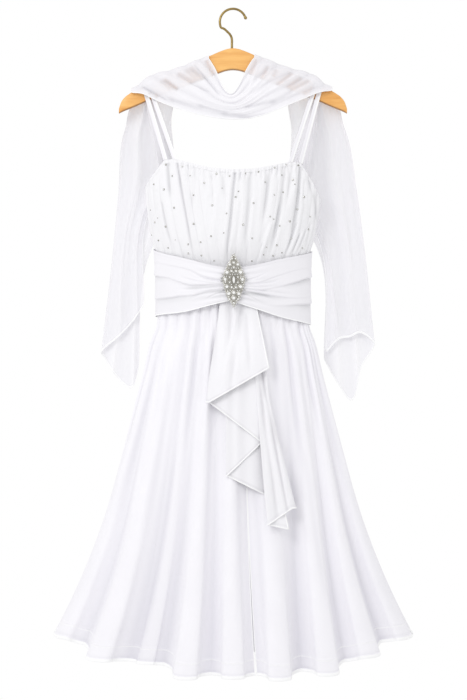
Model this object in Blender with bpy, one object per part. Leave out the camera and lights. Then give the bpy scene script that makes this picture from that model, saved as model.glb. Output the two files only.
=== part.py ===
# Ball gown with a matching drape, on a wooden clothes hanger.
# The origin is the inner top of the hook, where a rod carries it. +X is the viewer's right,
# -Y is the front and +Z is up. Sizes are in millimetres and become metres where meshes are made.
# A ring angle starts at the viewer's left side and runs over the centre front (90 degrees),
# the right side (180) and the centre back (270).
import math
from collections import namedtuple

import bmesh
import bpy
import numpy as np
from mathutils import Vector

MM = 0.001
WALL = 1.2
FINE_WALL = 1.0
SEAM = 0.3
EDGE_ROOM = 0.15
SIDE_SHIFT = 0.3
SIDE_SHARPNESS = 1.3
SHARP_EDGE_DEGREES = 40

# Bodice: ring sections, top edge of the front by width, top edge of the back by angle
Section = namedtuple("Section", "z half_width front back")
BODICE_SECTIONS = [
    Section(-285, 161.5, 56, 42), Section(-345, 165.5, 63, 47), Section(-400, 160.5, 65, 48),
    Section(-440, 153.0, 62, 48), Section(-455, 148.0, 59, 47.5), Section(-470, 144.5, 55.5, 47.2),
    Section(-525, 140.5, 49, 46.5)]
Edge = namedtuple("Edge", "x z")
FRONT_TOP_EDGE = [
    Edge(-168, -340), Edge(-150, -313), Edge(-132, -289), Edge(-118, -288), Edge(-104, -289),
    Edge(-70, -299), Edge(-38, -306.5), Edge(0, -309.5), Edge(38, -308), Edge(70, -302),
    Edge(104, -294.5), Edge(118, -293.5), Edge(130, -295), Edge(148, -327), Edge(166, -361)]
Turn = namedtuple("Turn", "angle z")
BACK_TOP_EDGE = [Turn(180, -361), Turn(205, -350), Turn(270, -346), Turn(335, -344), Turn(360, -340)]
WAIST_Z = -525
BODICE_ROWS = 6
BODICE_BACK_STEPS = 12
BODICE_BACK_ROWS = 4
GATHERS = 20
GATHER_STEPS = 4
GATHER_CONVERGENCE = 0.058
Puff = namedtuple("Puff", "down depth")
BODICE_GATHERS = [Puff(0, 1.2), Puff(0.12, 2.2), Puff(0.5, 1.8), Puff(0.8, 2.3), Puff(1, 1.0)]
EDGE_FADE = 0.06

# Straps: places of the four narrow straps at the front, on the arm and at the back
Strap = namedtuple("Strap", "name front arm back")
STRAPS = [
    Strap("strap_left_outer", -127, -166.5, -127), Strap("strap_left_inner", -109, -157, -110),
    Strap("strap_right_outer", 127, 164.5, 127), Strap("strap_right_inner", 108, 155, 110)]
STRAP_WIDTH = 7.6
STRAP_WALL = 1.5
STRAP_DROP_ON_ARM = 10
STRAP_BEND_TURNS = (0, 30, 60, 90)
STRAP_STEPS = 3

# Sash: upper and lower edge from the side seam (0) to the centre front (1), and its pleats
Band = namedtuple("Band", "across top bottom")
SASH_LEFT = [
    Band(0, -454, -582), Band(0.3, -463, -579), Band(0.6, -475, -574), Band(0.85, -489, -561),
    Band(1, -495, -553)]
SASH_RIGHT = [
    Band(0, -459, -599), Band(0.3, -466, -594), Band(0.6, -476, -584), Band(0.85, -489, -567),
    Band(1, -495, -556)]
SASH_SECTIONS = [
    Section(-450, 151.5, 62.5, 50.0), Section(-485, 148.5, 61.5, 49.0), Section(-525, 147, 60, 48.9),
    Section(-570, 147.3, 60, 49.8), Section(-600, 148.2, 60, 51.2)]
SASH_BUNCH = 7.0
SASH_BUNCH_WIDTH = 70.0
SASH_STEPS = 10
SASH_PLEATS = 4
SASH_PLEAT_STEPS = 4
SASH_PLEAT_SIDE = 0.9
SASH_PLEAT_CENTRE = 1.7
SASH_PLEAT_FADE = 0.2
SASH_BACK_STEPS = 28
SASH_BACK_ROWS = 3

# Skirt: ring sections down the skirt (0 waist, 1 hem), with the share of the hem folds
# and the depth of the waist gathers
Flare = namedtuple("Flare", "down half_width front back fold gather")
SKIRT_SECTIONS = [
    Flare(0, 140.5, 49, 46.5, 0, 1.0), Flare(0.09, 142, 52, 46.6, 0, 1.2),
    Flare(0.115, 144.5, 53.5, 47.6, 0, 1.8), Flare(0.16, 155, 58, 53, 0.05, 2.8),
    Flare(0.25, 169, 65, 60, 0.12, 3.2),
    Flare(0.35, 186, 72, 66, 0.22, 2.6), Flare(0.51, 213, 85, 76, 0.42, 1.0),
    Flare(0.68, 245, 100, 88, 0.64, 0.2), Flare(0.82, 279, 114, 99, 0.82, 0),
    Flare(0.95, 318, 127, 110, 0.96, 0), Flare(1, 335, 132, 114, 1, 0)]
SKIRT_ROWS = [0, 0.06, 0.115, 0.18, 0.27, 0.39, 0.54, 0.7, 0.86, 1]
FRONT_STEPS = 4
BACK_STEPS = 2
Fold = namedtuple("Fold", "angle out hem waist")
FRONT_LEFT_FOLDS = [
    Fold(0, 0, -1176, 0), Fold(20, 12, -1187, 20), Fold(31, -14, -1198, 30), Fold(43, 20, -1219, 42),
    Fold(54, -18, -1221, 53), Fold(61, -6, -1223, 60), Fold(67, -18, -1225, 67), Fold(75, 20, -1243, 74),
    Fold(83, -16, -1240, 79), Fold(90, 18, -1241, 88), Fold(97.3, -12, -1240, 96.5)]
FRONT_RIGHT_FOLDS = [
    Fold(97.3, -12, -1240, 96.5), Fold(104.5, 20, -1245, 111), Fold(112.5, -18, -1236, 130),
    Fold(121, 20, -1240, 142), Fold(129, -15, -1223, 151), Fold(138, 17, -1213, 157),
    Fold(149, -16, -1194, 162), Fold(161, 12, -1189, 167), Fold(180, 0, -1176, 180)]
BACK_RIGHT_FOLDS = [
    Fold(180, 0, -1176, 180), Fold(191, 12, -1189, 191), Fold(201, -14, -1198, 200),
    Fold(212, 18, -1211, 210), Fold(221, -16, -1218, 218), Fold(232, 19, -1228, 230),
    Fold(241, -17, -1230, 240), Fold(251, 19, -1240, 250), Fold(260, -17, -1238, 260),
    Fold(270, 17, -1243, 270)]
BACK_LEFT_FOLDS = [
    Fold(270, 17, -1243, 270), Fold(281, -16, -1238, 281), Fold(290, 19, -1240, 292),
    Fold(300, -17, -1230, 303), Fold(310, 18, -1226, 314), Fold(320, -16, -1215, 325),
    Fold(329, 18, -1208, 332), Fold(339, -15, -1196, 341), Fold(349, 9, -1186, 349),
    Fold(360, 0, -1176, 360)]
FOLD_BACK = 0.14
SLIT_START = 0.45
SLIT_HALF_OPENING = 1.6

# Cascade: one row for each layer, back and forth; a band is its place in front of the skirt
Layer = namedtuple("Layer", "start_x start_z end_x end_z start_top end_top band steps")
CASCADE_LAYERS = [
    Layer(66, -679, -44, -742, 38, -21, 17.5, 5), Layer(-44, -742, 53.5, -816, -21, 30, 7, 4),
    Layer(53.5, -816, -11, -877, 30, -12, 3.5, 3), Layer(-11, -877, 109, -936, -12, 36, 0, 4),
    Layer(109, -936, 64.6, -965, 36, 28, 14, 2), Layer(64.6, -965, 101.5, -974, 28, 34, 10.5, 2)]
CASCADE_TOP_Z = -538
CASCADE_TOP_SQUEEZE = 0.42
CASCADE_SPREAD_START = 0.15
CASCADE_SPREAD_END = 0.775
CASCADE_ROWS = 7
WIDE_TURN_RADIUS = 3
FOLD_CREST = 21
CASCADE_EDGE_BOW = 9
CASCADE_BOW_FROM_X = 60
CASCADE_BOW_BELOW = -890
FACET_ROOM = 0.4

# Brooch: outline of the plate, and its stones from top to bottom; a stone off the middle is paired
Outline = namedtuple("Outline", "z half_width")
BROOCH_OUTLINE = [
    Outline(49.5, 1.2), Outline(44, 4.2), Outline(38, 7), Outline(30, 11.8), Outline(22, 14.6),
    Outline(14, 18.2), Outline(2, 21.8), Outline(-12, 18.6), Outline(-24, 14.8), Outline(-34, 11),
    Outline(-42, 5), Outline(-50, 1)]
BROOCH_CENTRE = Vector((1.5, 0, -517))
BROOCH_PLATE = 2.2
Stone = namedtuple("Stone", "z x radius")
STONES = [
    Stone(46.3, 0, 2.1), Stone(40.3, 3, 2.5), Stone(33, 0, 3.2), Stone(29.5, 7.4, 3.6),
    Stone(24.3, 0, 3), Stone(17.2, 4.2, 3), Stone(15, 12.5, 4.4), Stone(6, 7.6, 2.4),
    Stone(2, 15.8, 4.2), Stone(-3.5, 7.6, 2.4), Stone(-11.5, 12.6, 4.2), Stone(-12.8, 3.9, 3),
    Stone(-22.5, 0, 4.2), Stone(-24.5, 9.3, 4.2), Stone(-32.6, 0, 4.4), Stone(-34.5, 7.6, 2.6),
    Stone(-41.5, 0, 2.6)]
STONE_SIDES = 6
STONE_RISE = 1.15
STONE_TABLE = 0.6
LONG_STONE_CENTRE_Z = 1
LONG_STONE_HALF_WIDTH = 3.8
LONG_STONE_HALF_HEIGHT = 8.4
LONG_STONE_RISE = 5.2
LONG_STONE_OUTLINE = [
    (0, 1), (0.75, 0.5), (1, 0), (0.75, -0.5), (0, -1), (-0.75, -0.5), (-1, 0), (-0.75, 0.5)]

# Hanger: the bar from its middle outwards, and the hook
Bar = namedtuple("Bar", "x top bottom half_thickness")
BAR_SECTIONS = [
    Bar(0, -73, -114.2, 6), Bar(14, -75.5, -116, 6), Bar(27, -80.3, -120.5, 6),
    Bar(42, -87, -126.2, 6), Bar(75, -102.2, -139, 6), Bar(120, -123, -156.5, 6),
    Bar(163, -142.8, -173.3, 6), Bar(184, -152.4, -182.6, 6), Bar(196, -159.3, -187.6, 5.9),
    Bar(206, -167, -191.6, 5.6), Bar(213, -177, -195, 4.8), Bar(216.5, -187, -197, 3.6)]
BAR_CORNER = 3.2
BAR_CORNER_SHARE = 0.7
WIRE_RADIUS = 2.25
HOOK_RADIUS = 25.0
HOOK_TIP_ANGLE = 20
HOOK_END_ANGLE = 205
HOOK_STEPS = 14
HOOK_SIDES = 8
SHANK_X = -2.0
Ball = namedtuple("Ball", "reach radius")
HOOK_BALL = [Ball(3.4, 1.6), Ball(2.6, 2.7), Ball(1.3, 3.1), Ball(0, 3.1), Ball(-1.3, 2.6)]
HOOK_NECK = [Edge(-17.5, -35.5), Edge(-11, -41), Edge(-5.8, -46.5), Edge(-3, -51.5), Edge(SHANK_X, -57),
             Edge(SHANK_X, -64.5), Edge(SHANK_X, BAR_SECTIONS[0].top + SEAM)]

# Drape: its cowl between the arms, and its two hanging ends
Swag = namedtuple("Swag", "across neck_x neck_z neck_y hem_x hem_z hem_y")
COWL = [
    Swag(0.0, -46, -97, -11, -194, -158, -11), Swag(0.1, -41, -103, -12.5, -171, -161, -16),
    Swag(0.2, -34, -114, -13, -148, -173, -19), Swag(0.3, -26.5, -131, -14, -110, -189, -23),
    Swag(0.4, -18, -152, -16, -62, -203, -27), Swag(0.5, -4, -164, -17, -4, -213, -29),
    Swag(0.6, 8, -152, -16, 50, -206, -27), Swag(0.7, 18, -132, -14, 96, -187, -23),
    Swag(0.8, 26, -115, -13, 132, -172, -19), Swag(0.9, 34, -102, -12.5, 165, -158, -16),
    Swag(1.0, 41, -96, -11, 188, -154, -11)]
Lift = namedtuple("Lift", "down height")
COWL_LIFT = [
    Lift(0, 2.2), Lift(0.1, 4.1), Lift(0.3, 5.5), Lift(0.5, 9), Lift(0.68, 12.5), Lift(0.8, 15),
    Lift(0.9, 9), Lift(1, 8)]
COWL_FOLDS = 5
COWL_FOLD_STEPS = 4
COWL_STEPS = 12
COWL_FOLD_DEPTH = 2.1
COWL_REACH = 11.0
COWL_ROLL = 10.0
COWL_ROLL_SPAN = 0.12
COWL_BACK_ANGLES = [-75, -45, -15, 15, 50]
NORMAL_STEP = 0.004
END_START_ANGLE = -78
End = namedtuple("End", "across shoulder chest side hem_x hem_z layer")
END_LEFT = [
    End(0, -116, -117, -163, -172, -560, 0), End(0.17, -150, -155, -185, -192, -590, 0),
    End(0.33, -185, -192, -210, -222, -622, 0), End(0.45, -205, -217, -228, -249, -644, 1.5),
    End(0.5, -209, -221, -231, -254, -651, 5), End(0.55, -206, -218, -228, -250, -658, 8.5),
    End(0.7, -180, -190, -208, -230, -691, 10), End(0.88, -148, -158, -184, -194, -718, 10),
    End(1, -122, -128, -168, -182, -680, 10)]
END_RIGHT = [
    End(0, 110, 113, 166, 180, -650, 0), End(0.17, 150, 160, 190, 207, -620, 0),
    End(0.33, 187, 204, 224, 243, -615, 0), End(0.45, 211, 234, 248, 268, -628, 1.5),
    End(0.5, 215, 238, 252, 273, -635, 5), End(0.55, 212, 235, 249, 269, -646, 8.5),
    End(0.64, 192, 215, 234, 249, -677, 10), End(0.78, 168, 190, 214, 230, -743, 10),
    End(0.9, 140, 160, 190, 203, -712, 10), End(1, 120, 128, 170, 176, -664, 10)]
END_LEVELS = [0, 0.06, 0.2, 0.42, 0.62, 1]
END_WIDENING = 0.6
END_ROWS = [0, 0.06, 0.13, 0.21, 0.31, 0.42, 0.54, 0.69, 0.85, 1]
END_COLUMNS = 20
END_FOLDS = 5
END_FOLD_DEPTH = 2.3
END_FOLD_START = 0.14
END_BACK_DEPTH = 37.0
END_BACK_Z = -300


def mix(a, b, share):
    return a + (b - a) * share


def smooth(share):
    share = min(max(share, 0.0), 1.0)
    return share * share * (3 - 2 * share)


def curve_value(places, values, at):
    """Value at a place of the smooth curve through a row of values."""
    places, values = np.asarray(places, float), np.asarray(values, float)
    slopes = np.gradient(values, places)
    i = int(np.clip(np.searchsorted(places, at) - 1, 0, len(places) - 2))
    step = places[i + 1] - places[i]
    t = min(max((at - places[i]) / step, 0.0), 1.0)
    rise = t * t * (3 - 2 * t)
    return float(mix(values[i], values[i + 1], rise)
                 + step * (slopes[i] * t * (1 - t) ** 2 - slopes[i + 1] * t * t * (1 - t)))


def read(table, column, at, key=0):
    """Reads a column of a table at a value of its key column, with the curve between rows."""
    rows = sorted(table, key=lambda row: row[key])
    return curve_value([row[key] for row in rows], [getattr(row, column) for row in rows], at)


def read_straight(table, column, at):
    """The same with straight lines between the rows, for edges that have corners."""
    return float(np.interp(at, [row[0] for row in table], [getattr(row, column) for row in table]))


def finish(name, color, roughness, metallic=0.0):
    surface = bpy.data.materials.new(name)
    surface.use_nodes = True
    shader = surface.node_tree.nodes["Principled BSDF"]
    shader.inputs["Base Color"].default_value = (*color, 1)
    shader.inputs["Roughness"].default_value = roughness
    shader.inputs["Metallic"].default_value = metallic
    surface.diffuse_color = (*color, 1)
    return surface


def add_object(name, points, faces, surface, gown):
    mesh = bpy.data.meshes.new(name)
    mesh.from_pydata([tuple(Vector(p) * MM) for p in points], [], faces)
    mesh.materials.append(surface)
    mesh.shade_smooth()
    mesh.set_sharp_from_angle(angle=math.radians(SHARP_EDGE_DEGREES))
    piece = bpy.data.objects.new(name, mesh)
    bpy.context.scene.collection.objects.link(piece)
    piece.parent = gown
    return piece


def cloth_wall(name, grid, surface, gown, wall=WALL):
    """A sheet through a grid of points, given its thickness."""
    columns = len(grid[0])
    faces = [(r * columns + c, r * columns + c + 1, (r + 1) * columns + c + 1, (r + 1) * columns + c)
             for r in range(len(grid) - 1) for c in range(columns - 1)]
    piece = add_object(name, [p for row in grid for p in row], faces, surface, gown)
    thick = piece.modifiers.new("wall", "SOLIDIFY")
    thick.thickness = wall * MM
    thick.offset = 0
    return piece


def loft(name, rings, surface, gown):
    """A solid through rings of points, closed at both ends."""
    sides = len(rings[0])
    faces = [(r * sides + k, r * sides + (k + 1) % sides, (r + 1) * sides + (k + 1) % sides,
              (r + 1) * sides + k) for r in range(len(rings) - 1) for k in range(sides)]
    last = (len(rings) - 1) * sides
    faces.append(tuple(reversed(range(sides))))
    faces.append(tuple(last + k for k in range(sides)))
    piece = add_object(name, [p for ring in rings for p in ring], faces, surface, gown)
    face_outwards(piece.data)
    return piece


def face_outwards(mesh):
    shape = bmesh.new()
    shape.from_mesh(mesh)
    bmesh.ops.recalc_face_normals(shape, faces=shape.faces)
    shape.to_mesh(mesh)
    shape.free()


def ring_point(degrees, half_width, front, back, out=0.0, z=0.0):
    """A point of a gown ring, moved out along the ring's normal."""
    cosine, sine = math.cos(math.radians(degrees)), math.sin(math.radians(degrees))
    depth = front if sine > 0 else back
    point = Vector((-half_width * cosine, -math.copysign(depth * abs(sine) ** SIDE_SHARPNESS, sine), z))
    normal = Vector((-cosine * depth, -sine * half_width, 0)).normalized()
    return point + normal * out


def section_point(sections, degrees, z, out=0.0):
    """A point on the ring that a table of sections gives at a height."""
    half_width, front, back = (read(sections, column, z) for column in ("half_width", "front", "back"))
    return ring_point(degrees, half_width, front, back, out, z)


def bodice_at(x, z, behind=False):
    """The bodice ring's point at a distance x from the middle."""
    degrees = math.degrees(math.acos(-x / read(BODICE_SECTIONS, "half_width", z)))
    return section_point(BODICE_SECTIONS, 360 - degrees if behind else degrees, z)


def make_bodice_front(surface, gown):
    steps = GATHERS * GATHER_STEPS
    grid = []
    for r in range(BODICE_ROWS + 1):
        down = r / BODICE_ROWS
        row = []
        for c in range(steps + 1):
            across = c / steps
            low = across + GATHER_CONVERGENCE * math.sin(2 * math.pi * across)
            degrees = 180 * mix(across, low, down)
            top_x = -BODICE_SECTIONS[1].half_width * math.cos(math.radians(180 * across))
            top = read_straight(FRONT_TOP_EDGE, "z", top_x)
            z = mix(top, WAIST_Z + SEAM / 2, down)
            fade = smooth(min(across, 1 - across) / EDGE_FADE)
            wave = read(BODICE_GATHERS, "depth", down) * math.cos(2 * math.pi * GATHERS * across)
            row.append(section_point(BODICE_SECTIONS, degrees, z, wave * fade))
        grid.append(shift_ends(row, Vector((0, -SIDE_SHIFT, 0)), Vector((0, -SIDE_SHIFT, 0))))
    cloth_wall("bodice_front", grid, surface, gown)


def shift_ends(row, first, last):
    return [row[0] + first] + row[1:-1] + [row[-1] + last]


def make_bodice_back(name, start, end, surface, gown):
    """Half of the plain back; the halves meet at the centre back."""
    side, centre = Vector((0, SIDE_SHIFT, 0)), Vector((SEAM / 2, 0, 0))
    grid = []
    for r in range(BODICE_BACK_ROWS + 1):
        row = []
        for c in range(BODICE_BACK_STEPS + 1):
            degrees = mix(start, end, c / BODICE_BACK_STEPS)
            top = read_straight(BACK_TOP_EDGE, "z", degrees)
            z = mix(top, WAIST_Z + SEAM / 2, r / BODICE_BACK_ROWS)
            row.append(section_point(BODICE_SECTIONS, degrees, z))
        grid.append(shift_ends(row, side, centre) if end == 270 else shift_ends(row, -centre, side))
    cloth_wall(name, grid, surface, gown)


def arm_top(x):
    return read(BAR_SECTIONS, "top", abs(x))


def strap_edge(front_x, arm_x, back_x):
    """One edge of a strap, from the front of the bodice over the arm to its back."""
    lift = SEAM + STRAP_WALL / 2
    reach = BAR_SECTIONS[0].half_thickness + lift
    bend = BAR_CORNER + lift
    top = arm_top(arm_x) + EDGE_ROOM
    front_z = read_straight(FRONT_TOP_EDGE, "z", front_x) + SEAM + EDGE_ROOM
    back_degrees = 360 - math.degrees(math.acos(-back_x / BODICE_SECTIONS[1].half_width))
    back_z = read_straight(BACK_TOP_EDGE, "z", back_degrees) + SEAM + EDGE_ROOM
    front, back = bodice_at(front_x, front_z), bodice_at(back_x, back_z, behind=True)
    quarter = [(reach - bend + bend * math.cos(a), bend * math.sin(a) - BAR_CORNER)
               for a in map(math.radians, STRAP_BEND_TURNS)]
    on_arm = [Vector((arm_x, -reach, top - STRAP_DROP_ON_ARM))]
    on_arm += [Vector((arm_x, -y, top + z)) for y, z in quarter]
    on_arm += [Vector((arm_x, y, top + z)) for y, z in reversed(quarter)]
    on_arm += [Vector((arm_x, reach, top - STRAP_DROP_ON_ARM))]
    rise = [mix(front, on_arm[0], k / STRAP_STEPS) for k in range(STRAP_STEPS)]
    fall = [mix(back, on_arm[-1], k / STRAP_STEPS) for k in reversed(range(STRAP_STEPS))]
    return rise + on_arm + fall


def make_strap(strap, surface, gown):
    half = STRAP_WIDTH / 2
    low = strap_edge(strap.front - half, strap.arm - half, strap.back - half)
    high = strap_edge(strap.front + half, strap.arm + half, strap.back + half)
    cloth_wall(strap.name, list(zip(low, high)), surface, gown, STRAP_WALL)


def sash_point(degrees, z, out):
    x = read(SASH_SECTIONS, "half_width", z) * math.cos(math.radians(degrees))
    bunch = SASH_BUNCH * math.exp(-((x / SASH_BUNCH_WIDTH) ** 2)) if 0 < degrees < 180 else 0
    return section_point(SASH_SECTIONS, degrees, z, out + bunch)


def make_sash_front(name, table, mirrored, surface, gown):
    """One side of the pleated sash, from the side seam to the pinched middle."""
    rows = SASH_PLEATS * SASH_PLEAT_STEPS
    grid = []
    for r in range(rows + 1):
        down = r / rows
        row = []
        for c in range(SASH_STEPS + 1):
            across = c / SASH_STEPS
            degrees = 180 - 90 * across if mirrored else 90 * across
            z = mix(read(table, "top", across), read(table, "bottom", across), down)
            depth = mix(SASH_PLEAT_SIDE, SASH_PLEAT_CENTRE, across) * smooth(across / SASH_PLEAT_FADE)
            row.append(sash_point(degrees, z, depth * math.cos(2 * math.pi * SASH_PLEATS * down)))
        centre = Vector((SEAM / 2 if mirrored else -SEAM / 2, 0, 0))
        grid.append(shift_ends(row, Vector((0, -SIDE_SHIFT, 0)), centre))
    cloth_wall(name, grid, surface, gown)


def make_sash_back(surface, gown):
    side = Vector((0, SIDE_SHIFT, 0))
    grid = []
    for r in range(SASH_BACK_ROWS + 1):
        row = []
        for c in range(SASH_BACK_STEPS + 1):
            across = c / SASH_BACK_STEPS
            top = mix(SASH_RIGHT[0].top, SASH_LEFT[0].top, across)
            bottom = mix(SASH_RIGHT[0].bottom, SASH_LEFT[0].bottom, across)
            row.append(sash_point(mix(180, 360, across), mix(top, bottom, r / SASH_BACK_ROWS), 0))
        grid.append(shift_ends(row, side, side))
    cloth_wall("sash_back", grid, surface, gown)


def skirt_columns(folds, steps):
    """Hem angle, waist angle, lean, fold depth, hem height and gather of each column of a panel."""
    columns = []
    for here, there in zip(folds, folds[1:]):
        for k in range(steps):
            share = k / steps
            rise = smooth(share)
            outwards = share if there.out > here.out else 1 - share
            crest = 0.5 * math.sin(math.pi / 2 * outwards) + 0.5 * smooth(outwards)
            low, high = sorted((here.out, there.out))
            lean = math.sin(2 * math.pi * share) * (there.angle - here.angle)
            columns.append((mix(here.angle, there.angle, share), mix(here.waist, there.waist, share), lean,
                            mix(low, high, crest), mix(here.hem, there.hem, rise),
                            math.cos(2 * math.pi * share)))
    last = folds[-1]
    columns.append((last.angle, last.waist, 0.0, last.out, last.hem, 1.0))
    return columns


def skirt_point(column, down):
    hem_angle, waist_angle, lean, out, hem, gather = column
    half_width, front, back, fold, gathers = (
        read(SKIRT_SECTIONS, column, down) for column in ("half_width", "front", "back", "fold", "gather"))
    degrees = mix(waist_angle, hem_angle, down) + FOLD_BACK * lean * max(fold, 0) ** 1.5
    at_side_seam = hem_angle % 180 == 0
    depth = out * fold + (0 if at_side_seam else gather * gathers)
    return ring_point(degrees, half_width, front, back, depth, mix(WAIST_Z - SEAM / 2, hem, down))


def make_skirt_panel(name, folds, steps, first, last, surface, gown):
    """A skirt panel; first and last are the moves of its two edges, waist to hem."""
    columns = skirt_columns(folds, steps)
    grid = [shift_ends([skirt_point(column, down) for column in columns], first(down), last(down))
            for down in SKIRT_ROWS]
    cloth_wall(name, grid, surface, gown)


def make_skirt(surface, gown):
    def still(x, y):
        return lambda down: Vector((x, y, 0))

    def slit(side):
        return lambda down: Vector((side * (SIDE_SHIFT + SLIT_HALF_OPENING * smooth(
            (down - SLIT_START) / (1 - SLIT_START))), 0, 0))

    front, back = still(0, -SIDE_SHIFT), still(0, SIDE_SHIFT)
    left, right = still(-SIDE_SHIFT, 0), still(SIDE_SHIFT, 0)
    make_skirt_panel("skirt_front_left", FRONT_LEFT_FOLDS, FRONT_STEPS, front, slit(-1), surface, gown)
    make_skirt_panel("skirt_front_right", FRONT_RIGHT_FOLDS, FRONT_STEPS, slit(1), front, surface, gown)
    make_skirt_panel("skirt_back_right", BACK_RIGHT_FOLDS, BACK_STEPS, back, right, surface, gown)
    make_skirt_panel("skirt_back_left", BACK_LEFT_FOLDS, BACK_STEPS, left, back, surface, gown)


def front_of_skirt(x, z):
    """Distance from the middle plane to the crests of the skirt's front folds."""
    crest_by_slit = FRONT_LEFT_FOLDS[-2]
    down = (WAIST_Z - z) / (WAIST_Z - crest_by_slit.hem)
    round_off = (1 - (x / read(SKIRT_SECTIONS, "half_width", down)) ** 2) ** (SIDE_SHARPNESS / 2)
    return (read(SKIRT_SECTIONS, "front", down) * round_off + read(SKIRT_SECTIONS, "gather", down)
            + FOLD_CREST * read(SKIRT_SECTIONS, "fold", down) + WALL / 2)


def cascade_columns():
    """Hem x, hem z, top x and band of each column, with a rounded turn between layers."""
    columns = []
    for i, layer in enumerate(CASCADE_LAYERS):
        for k in range(layer.steps + 1):
            share = k / layer.steps
            columns.append((mix(layer.start_x, layer.end_x, share), mix(layer.start_z, layer.end_z, share),
                            mix(layer.start_top, layer.end_top, share), layer.band, 0.0))
        if i + 1 < len(CASCADE_LAYERS):
            after = CASCADE_LAYERS[i + 1]
            radius = abs(after.band - layer.band) / 2
            way = math.copysign(radius, layer.end_x - layer.start_x)
            turns = (45, 90, 135) if radius > WIDE_TURN_RADIUS else (90,)
            for turn in turns:
                band = mix(layer.band, after.band, 0.5 - 0.5 * math.cos(math.radians(turn)))
                columns.append((layer.end_x, layer.end_z, layer.end_top, band,
                                way * math.sin(math.radians(turn))))
    return columns


def cascade_bow(hem_x, hem_z, down):
    """How far the long outer edge hangs in from a straight line."""
    if hem_z > CASCADE_BOW_BELOW:
        return 0
    outer = smooth((hem_x - CASCADE_BOW_FROM_X) / 45)
    return CASCADE_EDGE_BOW * outer * math.sin(math.pi * down) * smooth((down - 0.25) / 0.3)


def make_cascade(surface, gown):
    clear = SEAM + FINE_WALL / 2 + FACET_ROOM
    grid = []
    for r in range(CASCADE_ROWS + 1):
        down = r / CASCADE_ROWS
        opened = smooth((down - CASCADE_SPREAD_START) / (CASCADE_SPREAD_END - CASCADE_SPREAD_START))
        spread = mix(CASCADE_TOP_SQUEEZE, 1, opened)
        row = []
        for hem_x, hem_z, top_x, band, turn in cascade_columns():
            z = mix(CASCADE_TOP_Z, hem_z, down)
            x = mix(top_x, hem_x, down) - cascade_bow(hem_x, hem_z, down)
            depth = front_of_skirt(x, z) + clear + band * spread
            row.append(Vector((x + turn * spread, -depth, z)))
        grid.append(row)
    cloth_wall("cascade", grid, surface, gown, FINE_WALL)


def stone_rings(seat, outline, height):
    """A cut stone: its seat outline, and a smaller table in front."""
    return [[seat + Vector((x * size, -height * rise, z * size)) for x, z in outline]
            for size, rise in ((1, 0), (STONE_TABLE, 1))]


def brooch_stones():
    """Place, outline and height of every stone of the brooch."""
    long_outline = [(LONG_STONE_HALF_WIDTH * x, LONG_STONE_HALF_HEIGHT * z) for x, z in LONG_STONE_OUTLINE]
    places = [(Vector((0, 0, LONG_STONE_CENTRE_Z)), long_outline, LONG_STONE_RISE)]
    for row in STONES:
        turns = [2 * math.pi * (k + 0.5) / STONE_SIDES for k in range(STONE_SIDES)]
        outline = [(row.radius * math.cos(a), row.radius * math.sin(a)) for a in turns]
        for x in sorted({row.x, -row.x}):
            places.append((Vector((x, 0, row.z)), outline, row.radius * STONE_RISE))
    return places


def make_brooch(surface, gown):
    """A pointed oval plate with its stones raised on it."""
    back_y = -(SASH_SECTIONS[0].front + SASH_BUNCH + WALL / 2 + SEAM)
    centre = BROOCH_CENTRE + Vector((0, back_y, 0))
    right = [(row.half_width, row.z) for row in BROOCH_OUTLINE]
    outline = right + [(-x, z) for x, z in reversed(right)]
    rings = [[centre + Vector((x, y, z)) for x, z in outline] for y in (0, -BROOCH_PLATE)]
    plate = loft("brooch", rings, surface, gown)
    points, faces = [], []
    for place, shape, height in brooch_stones():
        start, sides = len(points), len(shape)
        seat = centre + place + Vector((0, -BROOCH_PLATE / 2, 0))
        for ring in stone_rings(seat, shape, height + BROOCH_PLATE / 2):
            points += ring
        faces += [(start + k, start + (k + 1) % sides, start + sides + (k + 1) % sides, start + sides + k)
                  for k in range(sides)]
        faces.append(tuple(start + k for k in reversed(range(sides))))
        faces.append(tuple(start + sides + k for k in range(sides)))
    gems = add_object("brooch_stones", points, faces, surface, gown)
    face_outwards(gems.data)
    gems.hide_render = True
    gems.display_type = "WIRE"
    union = plate.modifiers.new("stones", "BOOLEAN")
    union.operation = "UNION"
    union.object = gems


def bar_ring(x, section):
    """A rounded rectangle across the bar."""
    half_y = section.half_thickness
    half_z = (section.top - section.bottom) / 2
    middle = (section.top + section.bottom) / 2
    corner = min(BAR_CORNER, half_y * BAR_CORNER_SHARE, half_z * BAR_CORNER_SHARE)
    ring = []
    for start, side_y, side_z in ((0, 1, 1), (90, -1, 1), (180, -1, -1), (270, 1, -1)):
        for turn in (0, 45, 90):
            a = math.radians(start + turn)
            ring.append(Vector((x, side_y * (half_y - corner) + corner * math.cos(a),
                                middle + side_z * (half_z - corner) + corner * math.sin(a))))
    return ring


def make_hanger_bar(surface, gown):
    outwards = [bar_ring(row.x, row) for row in BAR_SECTIONS]
    inwards = [bar_ring(-row.x, row) for row in reversed(BAR_SECTIONS[1:])]
    loft("hanger_bar", inwards + outwards, surface, gown)


def hook_path():
    """The wire's centre line with its radius, from the ball over the loop and down the shank."""
    centre_z = WIRE_RADIUS - HOOK_RADIUS
    path = []
    for k in range(HOOK_STEPS + 1):
        a = math.radians(mix(HOOK_TIP_ANGLE, HOOK_END_ANGLE, k / HOOK_STEPS))
        around = Vector((HOOK_RADIUS * math.cos(a), 0, HOOK_RADIUS * math.sin(a)))
        path.append((Vector((0, 0, centre_z)) + around, WIRE_RADIUS))
    path += [(Vector((place.x, 0, place.z)), WIRE_RADIUS) for place in HOOK_NECK]
    tip, along = path[0][0], (path[0][0] - path[1][0]).normalized()
    return [(tip + along * row.reach, row.radius) for row in HOOK_BALL] + path[1:]


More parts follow.
